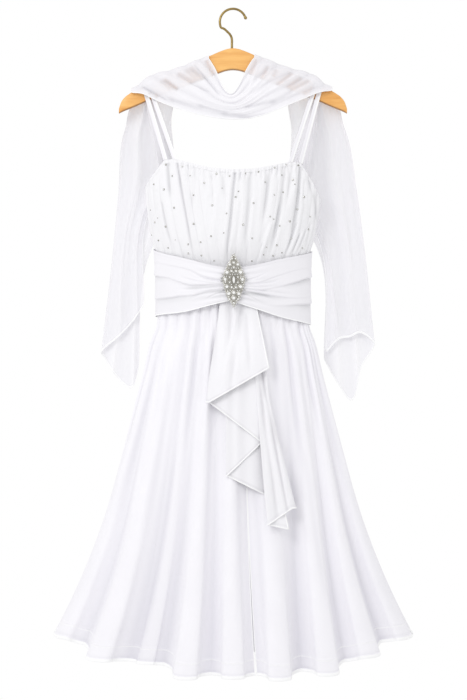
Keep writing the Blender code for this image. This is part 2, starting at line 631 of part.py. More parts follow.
def make_hanger_hook(surface, gown):
    path = hook_path()
    rings = []
    for i, (point, radius) in enumerate(path):
        before, after = path[max(i - 1, 0)][0], path[min(i + 1, len(path) - 1)][0]
        along = (after - before).normalized()
        across = along.cross(Vector((0, 1, 0))).normalized()
        rings.append([point + radius * (across * math.cos(a) + Vector((0, math.sin(a), 0)))
                      for a in (2 * math.pi * k / HOOK_SIDES for k in range(HOOK_SIDES))])
    loft("hanger_hook", rings, surface, gown)


def cowl_ridge(down, side):
    """Where the drape lies on top of an arm; down runs from the neck to the arm's end."""
    row = COWL[0] if side < 0 else COWL[-1]
    x = mix(row.neck_x, row.hem_x, down)
    return x, arm_top(x) + read(COWL_LIFT, "height", down)


def cowl_base(across, down):
    """The cowl without its folds. Below 0 and above 1 it runs over the arms to the back."""
    if across < 0 or across > 1:
        side = -1 if across < 0 else 1
        roll = math.radians(90 + (across if across < 0 else 1 - across) * 180)
        x, ridge = cowl_ridge(down, side)
        return Vector((x, -COWL_REACH * math.sin(roll), ridge - COWL_ROLL * (1 - math.cos(roll))))
    point = Vector([mix(read(COWL, "neck_" + axis, across), read(COWL, "hem_" + axis, across), down)
                    for axis in "xyz"])
    near = min(across, 1 - across)
    ridge = cowl_ridge(down, -1 if across < 0.5 else 1)[1] - COWL_ROLL
    point.z = mix(ridge, point.z, smooth(near / COWL_ROLL_SPAN))
    return point


def folded(base, across, down, depth):
    """Moves a point of a sheet along the sheet's own normal."""
    along = base(across + NORMAL_STEP, down) - base(across - NORMAL_STEP, down)
    low, high = max(down - NORMAL_STEP, 0), min(down + NORMAL_STEP, 1)
    fall = base(across, high) - base(across, low)
    return base(across, down) + along.cross(fall).normalized() * depth


def roll_place(degrees, side):
    share = (90 - degrees) / 180
    return -share if side < 0 else 1 + share


def cowl_point(across, down):
    return folded(cowl_base, across, down, -COWL_FOLD_DEPTH * math.cos(2 * math.pi * COWL_FOLDS * down))


def make_drape_cowl(surface, gown):
    places = [roll_place(a, -1) for a in COWL_BACK_ANGLES]
    places += [k / COWL_STEPS for k in range(COWL_STEPS + 1)]
    places += [roll_place(a, 1) for a in reversed(COWL_BACK_ANGLES)]
    steps = COWL_FOLDS * COWL_FOLD_STEPS
    grid = [[cowl_point(across, k / steps) for k in range(steps + 1)] for across in places]
    cloth_wall("drape_cowl", grid, surface, gown)


def end_point(table, side, across, down):
    top = cowl_point(roll_place(END_START_ANGLE, side), across)
    stops = [read(table, column, across) for column in ("shoulder", "chest", "side", "hem_x")]
    stops = [top.x, mix(top.x, stops[0], END_WIDENING)] + stops
    x = curve_value(END_LEVELS, stops, down)
    z = mix(top.z, read(table, "hem_z", across), down)
    back = mix(top.y, END_BACK_DEPTH, smooth((top.z - z) / (top.z - END_BACK_Z)))
    wave = END_FOLD_DEPTH * math.cos(2 * math.pi * END_FOLDS * across)
    return Vector((x, back + (read(table, "layer", across) + wave) * smooth(down / END_FOLD_START), z))


def make_drape_end(name, table, side, surface, gown):
    grid = [[end_point(table, side, c / END_COLUMNS, down) for c in range(END_COLUMNS + 1)]
            for down in END_ROWS]
    cloth_wall(name, grid, surface, gown, FINE_WALL)


def main():
    for thing in list(bpy.data.objects):
        bpy.data.objects.remove(thing, do_unlink=True)
    gown = bpy.data.objects.new("gown", None)
    bpy.context.scene.collection.objects.link(gown)
    satin = finish("white_satin", (0.93, 0.93, 0.95), 0.35)
    chiffon = finish("white_chiffon", (0.92, 0.92, 0.95), 0.7)
    silver = finish("silver_and_stones", (0.8, 0.79, 0.76), 0.2, 1.0)
    wood = finish("maple_wood", (0.86, 0.42, 0.1), 0.45)
    brass = finish("brass", (0.36, 0.27, 0.12), 0.35, 1.0)
    make_hanger_hook(brass, gown)
    make_hanger_bar(wood, gown)
    make_bodice_front(chiffon, gown)
    make_bodice_back("bodice_back_right", 180, 270, chiffon, gown)
    make_bodice_back("bodice_back_left", 270, 360, chiffon, gown)
    for strap in STRAPS:
        make_strap(strap, satin, gown)
    make_sash_front("sash_front_left", SASH_LEFT, False, satin, gown)
    make_sash_front("sash_front_right", SASH_RIGHT, True, satin, gown)
    make_sash_back(satin, gown)
    make_brooch(silver, gown)
    make_skirt(chiffon, gown)
    make_cascade(chiffon, gown)
    make_drape_cowl(chiffon, gown)
    make_drape_end("drape_left", END_LEFT, -1, chiffon, gown)
    make_drape_end("drape_right", END_RIGHT, 1, chiffon, gown)


main()
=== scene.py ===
# %% [markdown]
# # A white ball gown with its drape, on a wooden hanger
# The gown hangs from the inner top of the hanger's hook, which is the origin. +X is the viewer's right,
# -Y is the front and +Z is up. Sizes are in millimetres and become metres where a mesh is made.
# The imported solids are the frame. Every one of them is replaced by a finer piece in the same place:
# thin cloth shells with their gathers and creases, cut stones, turned metal and grained wood.

# %% Load the frame
import math
from collections import namedtuple

import bpy
import numpy as np
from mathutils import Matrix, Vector


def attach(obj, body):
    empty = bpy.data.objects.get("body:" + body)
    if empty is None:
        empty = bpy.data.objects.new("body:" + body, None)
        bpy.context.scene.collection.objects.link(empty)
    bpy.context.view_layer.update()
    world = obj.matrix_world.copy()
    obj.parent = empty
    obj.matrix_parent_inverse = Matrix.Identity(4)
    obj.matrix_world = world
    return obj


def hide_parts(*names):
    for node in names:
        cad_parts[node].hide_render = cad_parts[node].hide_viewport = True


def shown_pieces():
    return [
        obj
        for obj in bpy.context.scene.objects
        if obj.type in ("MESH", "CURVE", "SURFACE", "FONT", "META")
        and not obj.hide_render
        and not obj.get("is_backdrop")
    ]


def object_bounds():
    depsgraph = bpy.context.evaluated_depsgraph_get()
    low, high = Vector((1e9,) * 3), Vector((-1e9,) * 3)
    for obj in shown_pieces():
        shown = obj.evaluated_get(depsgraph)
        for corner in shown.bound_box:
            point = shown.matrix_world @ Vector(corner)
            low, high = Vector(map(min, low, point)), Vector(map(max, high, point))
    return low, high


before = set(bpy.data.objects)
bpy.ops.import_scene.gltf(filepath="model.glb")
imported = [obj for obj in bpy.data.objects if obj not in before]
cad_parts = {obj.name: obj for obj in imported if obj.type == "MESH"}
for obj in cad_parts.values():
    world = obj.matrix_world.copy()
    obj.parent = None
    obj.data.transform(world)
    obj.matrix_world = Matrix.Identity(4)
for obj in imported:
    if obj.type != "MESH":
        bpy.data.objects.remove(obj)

cad_low, cad_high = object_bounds()
MM = 0.001
TURN = 2 * math.pi
cad_size = [round(high - low, 3) for low, high in zip(cad_low, cad_high)]
print("frame:", len(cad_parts), "nodes,", cad_size, "m")

# %% [markdown]
# ## Camera, light and floor
# The picture is a straight front view with little perspective. It shows 1.33 m of height from 3 m away,
# so the lens is worked out from those two numbers and the sensor's long side.
# The light is what a white studio gives: the whole surround glows, and one large soft lamp at the upper
# left gives the folds a lit side and a shaded side. A stronger lamp would be simpler to set, but it would
# burn out white cloth. The rod that carries the hanger would be at about 1.9 m, so the floor lies 1.9 m
# below the hook, well under the hem. It fades out at its rim so that no horizon line shows.

# %% Camera at the front
VIEW_DISTANCE = 3.0
VIEW_HEIGHT = 1.33
VIEW_CENTRE = Vector((0.001, 0, -0.646))

camera = bpy.data.objects.new("camera", bpy.data.cameras.new("camera"))
bpy.context.scene.collection.objects.link(camera)
camera.data.sensor_width = 36
camera.data.lens = camera.data.sensor_width * VIEW_DISTANCE / VIEW_HEIGHT
camera.location = VIEW_CENTRE + Vector((0, -VIEW_DISTANCE, 0))
camera.rotation_euler = (math.radians(90), 0, 0)
bpy.context.scene.camera = camera
print("lens:", round(camera.data.lens, 1), "mm")

# %% Helpers that place nodes and start a material
def put(tree, kind, inputs=None, **settings):
    """Adds a node. An input's value is a number, a colour or another node's output to link."""
    made = tree.nodes.new("ShaderNode" + kind)
    for name, value in settings.items():
        setattr(made, name, value)
    for name, value in (inputs or {}).items():
        if isinstance(value, bpy.types.NodeSocket):
            tree.links.new(value, made.inputs[name])
        else:
            made.inputs[name].default_value = value
    return made


def new_material(name):
    """A material, its node tree and its main shader."""
    made = bpy.data.materials.new(name)
    made.use_nodes = True
    return made, made.node_tree, made.node_tree.nodes["Principled BSDF"]


# %% White surround
SURROUND_LIGHT = 0.90
SEEN_WHITE = 1.0

world = bpy.data.worlds.new("studio")
bpy.context.scene.world = world
world.use_nodes = True
sky = world.node_tree
sky.nodes.clear()
seen = put(sky, "LightPath").outputs["Is Camera Ray"]
glow = put(sky, "Mix", {"Factor": seen, "A": SURROUND_LIGHT, "B": SEEN_WHITE}).outputs["Result"]
back_light = put(sky, "Background", {"Color": (1, 1, 1, 1), "Strength": glow})
put(sky, "OutputWorld", {"Surface": back_light.outputs["Background"]})
bpy.context.scene.view_settings.view_transform = "Standard"
print("surround:", SURROUND_LIGHT, "as light,", SEEN_WHITE, "as seen")

# %% One soft lamp
LAMP_PLACE = Vector((-1.3, -2.4, 1.0))
LAMP_AIM = Vector((0, 0, -0.7))
LAMP_SIZE = 1.0
LAMP_POWER = 21.0

lamp_data = bpy.data.lights.new("soft_lamp", "AREA")
lamp_data.size = LAMP_SIZE
lamp_data.energy = LAMP_POWER
lamp = bpy.data.objects.new("soft_lamp", lamp_data)
lamp.location = LAMP_PLACE
lamp.rotation_euler = (LAMP_AIM - LAMP_PLACE).to_track_quat("-Z", "Y").to_euler()
bpy.context.scene.collection.objects.link(lamp)
print("lamp:", round((LAMP_PLACE - LAMP_AIM).length, 2), "m from the gown")

# %% Pale floor
FLOOR_Z = -1.9
FLOOR_RADIUS = 2.2
FLOOR_FADE_START = 0.7
FLOOR_SIDES = 64
FLOOR_WHITE = (0.9, 0.9, 0.9, 1)
FLOOR_ROUGHNESS = 0.6

floor_mesh = bpy.data.meshes.new("floor")
turns = np.linspace(0, TURN, FLOOR_SIDES, endpoint=False)
rim = [(FLOOR_RADIUS * math.cos(a), FLOOR_RADIUS * math.sin(a), FLOOR_Z) for a in turns]
floor_mesh.from_pydata(rim, [], [tuple(range(len(rim)))])
floor = bpy.data.objects.new("floor", floor_mesh)
bpy.context.scene.collection.objects.link(floor)
pale, tree, shader = new_material("pale_floor")
place = put(tree, "TexCoord").outputs["Object"]
flat = put(tree, "VectorMath", {0: place, 1: (1, 1, 0)}, operation="MULTIPLY").outputs["Vector"]
radius = put(tree, "VectorMath", {0: flat}, operation="LENGTH").outputs["Value"]
fade = put(tree, "MapRange", {"Value": radius, "From Min": FLOOR_FADE_START, "From Max": FLOOR_RADIUS,
                              "To Min": 1, "To Max": 0}, interpolation_type="SMOOTHSTEP")
tree.links.new(fade.outputs["Result"], shader.inputs["Alpha"])
shader.inputs["Base Color"].default_value = FLOOR_WHITE
shader.inputs["Roughness"].default_value = FLOOR_ROUGHNESS
floor_mesh.materials.append(pale)
floor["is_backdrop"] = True
print("floor:", FLOOR_Z, "m")

# %% [markdown]
# ## Shared effects
# Four effects come back in several finishes, so each is a node group with named sockets: the crepe
# weave of chiffon and satin, the long soft creases that cloth gets from hanging, the doubled cloth
# and stitches of a hem, and fine wear on metal and wood. An image texture could give the weave too, but
# a formula stays sharp at any distance and follows the cloth, because it reads a UV map in metres
# whose second coordinate is the height above the lower edge.

# %% Helpers for node groups
def new_group(name, inputs, outputs):
    """A node group with one vector input, float inputs and float outputs."""
    group = bpy.data.node_groups.new(name, "ShaderNodeTree")
    group.interface.new_socket("Vector", in_out="INPUT", socket_type="NodeSocketVector")
    for socket, value in inputs.items():
        made = group.interface.new_socket(socket, in_out="INPUT", socket_type="NodeSocketFloat")
        made.default_value = value
    for socket in outputs:
        group.interface.new_socket(socket, in_out="OUTPUT", socket_type="NodeSocketFloat")
    return group, group.nodes.new("NodeGroupInput").outputs, group.nodes.new("NodeGroupOutput").inputs


def calc(tree, operation, first, second=0.0, third=None):
    values = {0: first, 1: second} if third is None else {0: first, 1: second, 2: third}
    return put(tree, "Math", values, operation=operation).outputs["Value"]


def noise(tree, place, scale, detail, **more):
    return put(tree, "TexNoise", {"Vector": place, "Scale": scale, "Detail": detail, **more}).outputs["Fac"]


# %% Crepe weave
SLUB_SCALE, CLOUD_SCALE = 900.0, 14.0

weave_group, given, result = new_group("crepe_weave", {"Thread": 0.0005, "Slub": 0.35}, ["Height", "Shade"])
sides = put(weave_group, "SeparateXYZ", {"Vector": given["Vector"]}).outputs
per_metre = calc(weave_group, "DIVIDE", TURN, given["Thread"])
warp = calc(weave_group, "SINE", calc(weave_group, "MULTIPLY", sides["X"], per_metre))
weft = calc(weave_group, "SINE", calc(weave_group, "MULTIPLY", sides["Y"], per_metre))
cross = calc(weave_group, "MULTIPLY", warp, weft)
slubs = noise(weave_group, given["Vector"], SLUB_SCALE, 2.0)
uneven = calc(weave_group, "MULTIPLY", slubs, given["Slub"])
weave_group.links.new(calc(weave_group, "MULTIPLY_ADD", cross, 0.5, uneven), result["Height"])
weave_group.links.new(noise(weave_group, given["Vector"], CLOUD_SCALE, 3.0), result["Shade"])

# %% Long soft creases
crease_group, given, result = new_group("long_creases", {"Width": 0.02, "Length": 0.25}, ["Height"])
sides = put(crease_group, "SeparateXYZ", {"Vector": given["Vector"]}).outputs
narrow = calc(crease_group, "DIVIDE", sides["X"], given["Width"])
long = calc(crease_group, "DIVIDE", sides["Y"], given["Length"])
stretched = put(crease_group, "CombineXYZ", {"X": narrow, "Y": long}).outputs["Vector"]
crease_group.links.new(noise(crease_group, stretched, 1.0, 2.0), result["Height"])

# %% Hem: a rolled rim, and the line where its inner edge is caught down
LINE_HALF_WIDTH, LINE_SHOWS = 0.0013, 0.45
ROW_HALF_WIDTH, STITCH_SHARE = 0.0004, 0.7

hem_group, given, result = new_group("stitched_hem", {"Rim": 0.006, "Line": 0.029, "Stitch": 0.003},
                                     ["Doubled", "Stitches"])
sides = put(hem_group, "SeparateXYZ", {"Vector": given["Vector"]}).outputs
rim = calc(hem_group, "LESS_THAN", sides["Y"], given["Rim"])
from_line = calc(hem_group, "ABSOLUTE", calc(hem_group, "SUBTRACT", sides["Y"], given["Line"]))
on_line = calc(hem_group, "LESS_THAN", from_line, LINE_HALF_WIDTH)
doubled = calc(hem_group, "MAXIMUM", rim, calc(hem_group, "MULTIPLY", on_line, LINE_SHOWS))
hem_group.links.new(doubled, result["Doubled"])
from_rim = calc(hem_group, "ABSOLUTE", calc(hem_group, "SUBTRACT", sides["Y"], given["Rim"]))
on_row = calc(hem_group, "LESS_THAN", calc(hem_group, "MINIMUM", from_rim, from_line), ROW_HALF_WIDTH)
step = calc(hem_group, "FRACT", calc(hem_group, "DIVIDE", sides["X"], given["Stitch"]))
stitched = calc(hem_group, "MULTIPLY", on_row, calc(hem_group, "LESS_THAN", step, STITCH_SHARE))
hem_group.links.new(stitched, result["Stitches"])

# %% Fine wear
wear_group, given, result = new_group("fine_wear", {"Scale": 300.0, "Contrast": 4.0}, ["Mask"])
spots = noise(wear_group, given["Vector"], given["Scale"], 4.0)
centred = calc(wear_group, "SUBTRACT", spots, 0.5)
spread = calc(wear_group, "MULTIPLY_ADD", centred, given["Contrast"], 0.5)
wear_group.links.new(put(wear_group, "Clamp", {"Value": spread}).outputs["Result"], result["Mask"])
print("groups:", [group.name for group in bpy.data.node_groups])

# %% [markdown]
# ## The cloths
# The skirt, bodice and ruffle are white crepe chiffon over a plain white layer, so they are dull and
# opaque. The sash and straps are soft satin, a little glossier. The drape is one loose layer of chiffon:
# the wood behind it shows through, so its alpha is below one and rises where folds or hems double it.
# Shade is painted into the colour of the cloth: a bluer grey down in its folds, on layers that lie under
# others and in a band above a hem, and the cloth is whiter on a hem, where it is doubled. A noise texture
# could paint the shade, but its patches would ignore the folds. Here a mesh attribute holds the painted shade
# of each point, and a second one, "layers", says how much cloth lies there, so both follow the folds exactly.

# %% One function for all the cloths
Cloth = namedtuple("Cloth", ["color", "hollow_color", "roughness", "sheen", "alpha", "thread", "weave",
                             "crease", "crease_width", "rim", "line"])
HEM_WHITE = (0.975, 0.975, 0.98)
SHEEN_ROUGHNESS, DULL_SPECULAR = 0.4, 0.25
CLOUD_SHADE = 0.12
HEM_COVERS, FULL_COVER = 0.95, 0.97


def color_mix(tree, share, first, second):
    """A mix of two colours or two colour outputs."""
    values = {"Factor": share}
    for socket, color in (("A", first), ("B", second)):
        values[socket] = color if isinstance(color, bpy.types.NodeSocket) else (*color, 1)
    return put(tree, "Mix", values, data_type="RGBA").outputs["Result"]


def rescale(tree, value, **limits):
    """A value moved from one range to another; the limits are From_Min, From_Max, To_Min and To_Max."""
    named = {name.replace("_", " "): limit for name, limit in limits.items()}
    return put(tree, "MapRange", {"Value": value, **named}).outputs["Result"]


def bump(tree, height, distance, **more):
    values = {"Height": height, "Distance": distance, "Strength": 1.0, **more}
    return put(tree, "Bump", values).outputs["Normal"]


def attribute(tree, name):
    return put(tree, "Attribute", attribute_name=name).outputs["Fac"]


def cloth_material(name, cloth):
    surface, tree, shader = new_material(name)
    along = put(tree, "UVMap", uv_map="cloth").outputs["UV"]

    def group(which, **values):
        return put(tree, "Group", {"Vector": along, **values}, node_tree=which).outputs

    weave = group(weave_group, Thread=cloth.thread)
    creases = group(crease_group, Width=cloth.crease_width)
    hem = group(hem_group, Rim=cloth.rim, Line=cloth.line)
    # Painted shade: the shade attribute, or a faint cloud of tone where that is larger, mixes the colour
    # towards the painted shade colour.
    clouds = rescale(tree, weave["Shade"], From_Min=0.3, From_Max=0.7, To_Max=CLOUD_SHADE)
    deep = calc(tree, "MAXIMUM", attribute(tree, "hollow"), clouds)
    body = color_mix(tree, deep, cloth.color, cloth.hollow_color)
    tree.links.new(color_mix(tree, hem["Doubled"], body, HEM_WHITE), shader.inputs["Base Color"])
    soft = bump(tree, creases["Height"], cloth.crease)
    threads = calc(tree, "ADD", weave["Height"], hem["Stitches"])
    tree.links.new(bump(tree, threads, cloth.weave, Normal=soft), shader.inputs["Normal"])
    shader.inputs["Roughness"].default_value = cloth.roughness
    shader.inputs["Sheen Weight"].default_value = cloth.sheen
    shader.inputs["Sheen Roughness"].default_value = SHEEN_ROUGHNESS
    shader.inputs["Specular IOR Level"].default_value = DULL_SPECULAR
    if cloth.alpha < 1:
        doubled = calc(tree, "MULTIPLY", hem["Doubled"], HEM_COVERS)
        layers = calc(tree, "MAXIMUM", doubled, attribute(tree, "layers"))
        cover = rescale(tree, layers, To_Min=cloth.alpha, To_Max=FULL_COVER)
        tree.links.new(cover, shader.inputs["Alpha"])
    print("cloth:", name, "thread", cloth.thread * 1000, "mm")
    return surface


# %% Seven cloths
# The second colour of each cloth is its painted shade.
WHITE, CHIFFON_SHADE = (0.93, 0.919, 0.957), (0.74, 0.728, 0.785)
RUFFLE_WHITE, RUFFLE_SHADE = (0.908, 0.901, 0.93), (0.72, 0.712, 0.742)
BRIGHT, GREY_SHADE = (0.895, 0.89, 0.913), (0.71, 0.708, 0.73)
PEARL = (0.88, 0.869, 0.905)
MILK, SHADE = (0.90, 0.888, 0.922), (0.69, 0.68, 0.72)
AIRY, MISTY_SHADE = (0.945, 0.937, 0.968), (0.83, 0.823, 0.862)
NO_LINE = -1.0
chiffon = cloth_material("white_chiffon_cloth", Cloth(
    WHITE, CHIFFON_SHADE, 0.85, 0.25, 1, 0.0005, 0.00006, 0.0012, 0.02, 0.006, 0.029))
ruched = cloth_material("ruched_chiffon_cloth", Cloth(
    BRIGHT, GREY_SHADE, 0.8, 0.25, 1, 0.0005, 0.00006, 0.0006, 0.006, 0.001, NO_LINE))
ruffle = cloth_material("ruffle_chiffon_cloth", Cloth(
    RUFFLE_WHITE, RUFFLE_SHADE, 0.85, 0.25, 1, 0.0005, 0.00006, 0.0008, 0.015, 0.001, NO_LINE))
satin = cloth_material("white_satin_cloth", Cloth(
    PEARL, GREY_SHADE, 0.45, 0.15, 1, 0.0003, 0.00003, 0.0008, 0.02, 0.002, NO_LINE))
sheer = cloth_material("sheer_chiffon_cloth", Cloth(
    MILK, SHADE, 0.85, 0.3, 0.50, 0.0005, 0.00006, 0.001, 0.012, 0.004, NO_LINE))
airy = cloth_material("airy_chiffon_cloth", Cloth(
    AIRY, MISTY_SHADE, 0.85, 0.3, 0.64, 0.0005, 0.00006, 0.001, 0.012, 0.004, NO_LINE))
hem_roll = cloth_material("rolled_hem_cloth", Cloth(
    HEM_WHITE, BRIGHT, 0.8, 0.3, 1, 0.0005, 0.00004, 0.0002, 0.01, 0, NO_LINE))

# %% [markdown]
# ## Tables, curves and shells
# A garment is easiest to size by a few sections: a half width and two depths at each height. A
# smooth curve through the rows gives every ring between them. The sides of this gown come to a soft
# edge, as two panels do that lie flat on a hanger, so the ring is a lens and not an ellipse.

# %% Curves through tables
def mix(a, b, share):
    return a + (b - a) * share


def smooth(share):
    share = np.clip(share, 0.0, 1.0)
    return share * share * (3 - 2 * share)


def rows_of(kind, *rows):
    """A table: one named row from each plain row of numbers."""
    return [kind(*row) for row in rows]


def read(table, column, at):
    """A column of a table at values of its first column, on the smooth curve through the rows."""
    rows = sorted(table)
    places = np.array([row[0] for row in rows], float)
    values = np.array([getattr(row, column) for row in rows], float)
    slopes = np.gradient(values, places)
    i = np.clip(np.searchsorted(places, at) - 1, 0, len(places) - 2)
    step = places[i + 1] - places[i]
    t = np.clip((at - places[i]) / step, 0.0, 1.0)
    bend = step * (slopes[i] * t * (1 - t) ** 2 - slopes[i + 1] * t * t * (1 - t))
    return mix(values[i], values[i + 1], smooth(t)) + bend


def read_straight(table, column, at):
    return np.interp(at, [row[0] for row in table], [getattr(row, column) for row in table])


def bell(away, width):
    return np.exp(-((away / width) ** 2))


def trough(beside, ridge, place=2.0, width=1.1):
    """A trough of depth 1 at 0 with a low ridge on each side of it; beside is in widths of the trough."""
    return bell(beside, 1) - ridge * bell(np.abs(beside) - place, width)


def round_ridges(turns, fullness=1.0):
    """Rounded ridges with narrow hollows between them, from -1 to 1; a turn is two ridges."""
    return np.abs(np.cos(turns)) ** fullness * 2 - 1


Sway = namedtuple("Sway", "height across down start")


def sway(waves, across, down=0.0):
    """A sum of slow waves, which makes even folds uneven. Across, down and start are in radians."""
    return sum(wave.height * np.sin(wave.across * across + wave.down * down + wave.start) for wave in waves)


# %% Rings of the gown
SEAM = 0.3
SIDE_SHARPNESS = 1.3
Section = namedtuple("Section", "z half_width front back")


def ring_points(degrees, half_width, front, back, out, z):
    """Points of gown rings, moved out along the ring's normal."""
    degrees, z = np.broadcast_arrays(np.asarray(degrees, float), np.asarray(z, float))
    cosine, sine = np.cos(np.radians(degrees)), np.sin(np.radians(degrees))
    depth = np.where(sine > 0, front, back)
    x, y = -half_width * cosine, -np.sign(sine) * depth * np.abs(sine) ** SIDE_SHARPNESS
    normal_x, normal_y = -cosine * depth, -sine * half_width
    reach = out / np.hypot(normal_x, normal_y)
    return np.stack([x + normal_x * reach, y + normal_y * reach, z], axis=-1)


def section_points(sections, degrees, z, out):
    return ring_points(degrees, read(sections, "half_width", z), read(sections, "front", z),
                       read(sections, "back", z), out, z)


# %% A shell of cloth through a grid of points
SHELL = 0.6
SHARP_RIM = math.radians(70)


def link(name, mesh, material):
    mesh.materials.append(material)
    piece = bpy.data.objects.new(name, mesh)
    bpy.context.scene.collection.objects.link(piece)
    return piece


def settle(piece):
    """Applies a piece's modifiers, so that its rim can be given sharp edges."""
    shape = bpy.data.meshes.new_from_object(piece.evaluated_get(bpy.context.evaluated_depsgraph_get()))
    piece.modifiers.clear()
    piece.data = shape
    shape.shade_smooth()
    shape.set_sharp_from_angle(angle=SHARP_RIM)


def lengths(grid, axis):
    """Running length along one axis of a grid."""
    steps = np.linalg.norm(np.diff(grid, axis=axis), axis=-1)
    start = np.zeros_like(steps[:1] if axis == 0 else steps[:, :1])
    return np.concatenate([start, np.cumsum(steps, axis=axis)], axis=axis)


def cloth_shell(name, grid, material, hollow=None, thickness=SHELL, layers=None):
    """A shell through a grid in millimetres. Its UV map is in metres, from the middle and the lower edge.

    Sheer cloth has no thickness, because light has to pass through it only once. Its layers say where
    folds lie on each other, from 0 for single cloth to 1."""
    rows, columns = grid.shape[:2]
    index = np.arange(rows * columns).reshape(rows, columns)
    quads = np.stack([index[:-1, :-1], index[:-1, 1:], index[1:, 1:], index[1:, :-1]], axis=-1).reshape(-1, 4)
    mesh = bpy.data.meshes.new(name)
    mesh.from_pydata((grid.reshape(-1, 3) * MM).tolist(), [], quads.tolist())
    across, down = lengths(grid, 1), lengths(grid, 0)
    flat = np.stack([across - across[:, -1:] / 2, down[-1:] - down], axis=-1).reshape(-1, 2) * MM
    layer = mesh.uv_layers.new(name="cloth")
    layer.data.foreach_set("uv", flat[quads.reshape(-1)].reshape(-1))
    for layer_name, values in (("hollow", hollow), ("layers", layers)):
        if values is not None:
            kept = mesh.attributes.new(layer_name, "FLOAT", "POINT")
            spread = np.clip(np.broadcast_to(values, (rows, columns)), 0, 1)
            kept.data.foreach_set("value", spread.reshape(-1))
    piece = link(name, mesh, material)
    if thickness:
        wall = piece.modifiers.new("wall", "SOLIDIFY")
        wall.thickness = thickness * MM
        wall.offset = 0
    settle(piece)
    print(f"{name}: {2 * len(piece.data.polygons)} triangles, widest {across[:, -1].max() * MM:.3f} m,"
          f" longest {down[-1].max() * MM:.3f} m")
    return piece


# %% A tube along a line of points
def sweep(path, radii, turns=8):
    """Rings round a line of points, carried along it without a twist."""
    path = np.asarray(path, float)
    radii = np.broadcast_to(radii, len(path))
    keep = np.concatenate([[True], np.linalg.norm(np.diff(path, axis=0), axis=1) > 0.02])
    path, radii = path[keep], radii[keep]
    steps = np.diff(path, axis=0)
    steps /= np.linalg.norm(steps, axis=1, keepdims=True)
    angles = np.linspace(0, TURN, turns, endpoint=False)[:, None]
    side = np.cross(steps[0], np.eye(3)[np.argmin(np.abs(steps[0]))])
    rings = []
    for k, place in enumerate(path):
        before, after = steps[max(k - 1, 0)], steps[min(k, len(steps) - 1)]
        ahead = before + after
        ahead = after if np.linalg.norm(ahead) < 0.3 else ahead / np.linalg.norm(ahead)
        side = side - ahead * side.dot(ahead)
        side /= np.linalg.norm(side)
        rings.append(place + radii[k] * (side * np.cos(angles) + np.cross(ahead, side) * np.sin(angles)))
    return np.array(rings)


def tube(name, rings, material, closed=True):
    """A skin over rings of points, with flat ends where closed."""
    count, sides = rings.shape[:2]
    index = np.arange(count * sides).reshape(count, sides)
    beside = np.roll(index, -1, axis=1)
    quads = np.stack([index[:-1], beside[:-1], beside[1:], index[1:]], axis=-1).reshape(-1, 4)
    faces = quads.tolist()
    if closed:
        faces += [index[0][::-1].tolist(), index[-1].tolist()]
    mesh = bpy.data.meshes.new(name)
    mesh.from_pydata((rings.reshape(-1, 3) * MM).tolist(), [], faces)
    along = np.repeat(lengths(rings, 0).mean(axis=1)[:, None], sides, axis=1)
    around = np.tile(np.linspace(0, 1, sides), (count, 1)) * np.linalg.norm(rings[0, 0] - rings[0, 1]) * sides
    flat = np.stack([along, around], axis=-1).reshape(-1, 2) * MM
    layer = mesh.uv_layers.new(name="cloth")
    layer.data.foreach_set("uv", flat[np.concatenate([np.asarray(face) for face in faces])].reshape(-1))
    mesh.shade_smooth()
    mesh.set_sharp_from_angle(angle=SHARP_RIM)
    return link(name, mesh, material)


# %% Helpers that hand pieces to the frame
def hand_over(piece, slot, *nodes):
    """Hangs a piece on the root body and hides the solids it takes the place of. The slot argument is not
    used.
    """
    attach(piece, "root")
    if nodes:
        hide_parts(*nodes)
    return piece


def rolled_edge(name, path, radius):
    """A thin round bead of hem cloth, fine at its two ends."""
    ends = np.full(len(path), radius)
    ends[[0, -1]] = radius * 0.5
    return hand_over(tube(name, sweep(path, ends), hem_roll), "white_chiffon")


# %% [markdown]
# ## Gathered bodice
# The front is a panel cut wider than the chest and drawn in on threads, at the neckline and again at
# the waist. That gives about twenty soft ridges which lean towards the middle on their way down, each
# a little stronger or weaker than the next. A cloth simulation could gather a flat panel, but it would
# not put the ridges where the real ones are. Here the ridges are a wave on the ring's normal whose strength
# comes from a table, and slow waves make them uneven. The casing at the neckline gets its own finer
# gathers, and the sharpest creases are placed one by one, each with its two ends, width and depth.

# %% Bodice sizes
WAIST_Z = -525
BODICE_SECTIONS = rows_of(Section,
    (-285, 161.5, 56, 42), (-345, 165.5, 63, 47), (-400, 160.5, 65, 48), (-440, 153.0, 62, 48),
    (-455, 148.0, 59, 47.5), (-470, 144.5, 55.5, 47.2), (-525, 140.5, 49, 46.5))
Edge = namedtuple("Edge", "x z")
FRONT_TOP_EDGE = rows_of(Edge,
    (-168, -340), (-150, -313), (-132, -289), (-118, -288), (-104, -289), (-70, -299), (-38, -306.5),
    (0, -309.5), (38, -308), (70, -302), (104, -294.5), (118, -293.5), (130, -295), (148, -327),
    (166, -361))
Turn = namedtuple("Turn", "angle z")
BACK_TOP_EDGE = [Turn(180, -361), Turn(205, -350), Turn(270, -346), Turn(335, -344), Turn(360, -340)]
GATHERS = 20
GATHER_CONVERGENCE = 0.058
Puff = namedtuple("Puff", "down depth")
BODICE_GATHERS = [Puff(0, 0.4), Puff(0.1, 1.0), Puff(0.5, 0.7), Puff(0.8, 0.9), Puff(1, 0.5)]
EDGE_FADE = 0.06
CASING = 7.5
CASING_RISE = 0.9
CASING_STEP = 1.2
CASING_FLATTENS = 0.8
TINY_GATHER, TINY_DEPTH, TINY_REACH = 5.2, 0.35, 10
NECK_GATHER, NECK_REACH, NECK_REACH_SWAY = 11.0, 16, 9
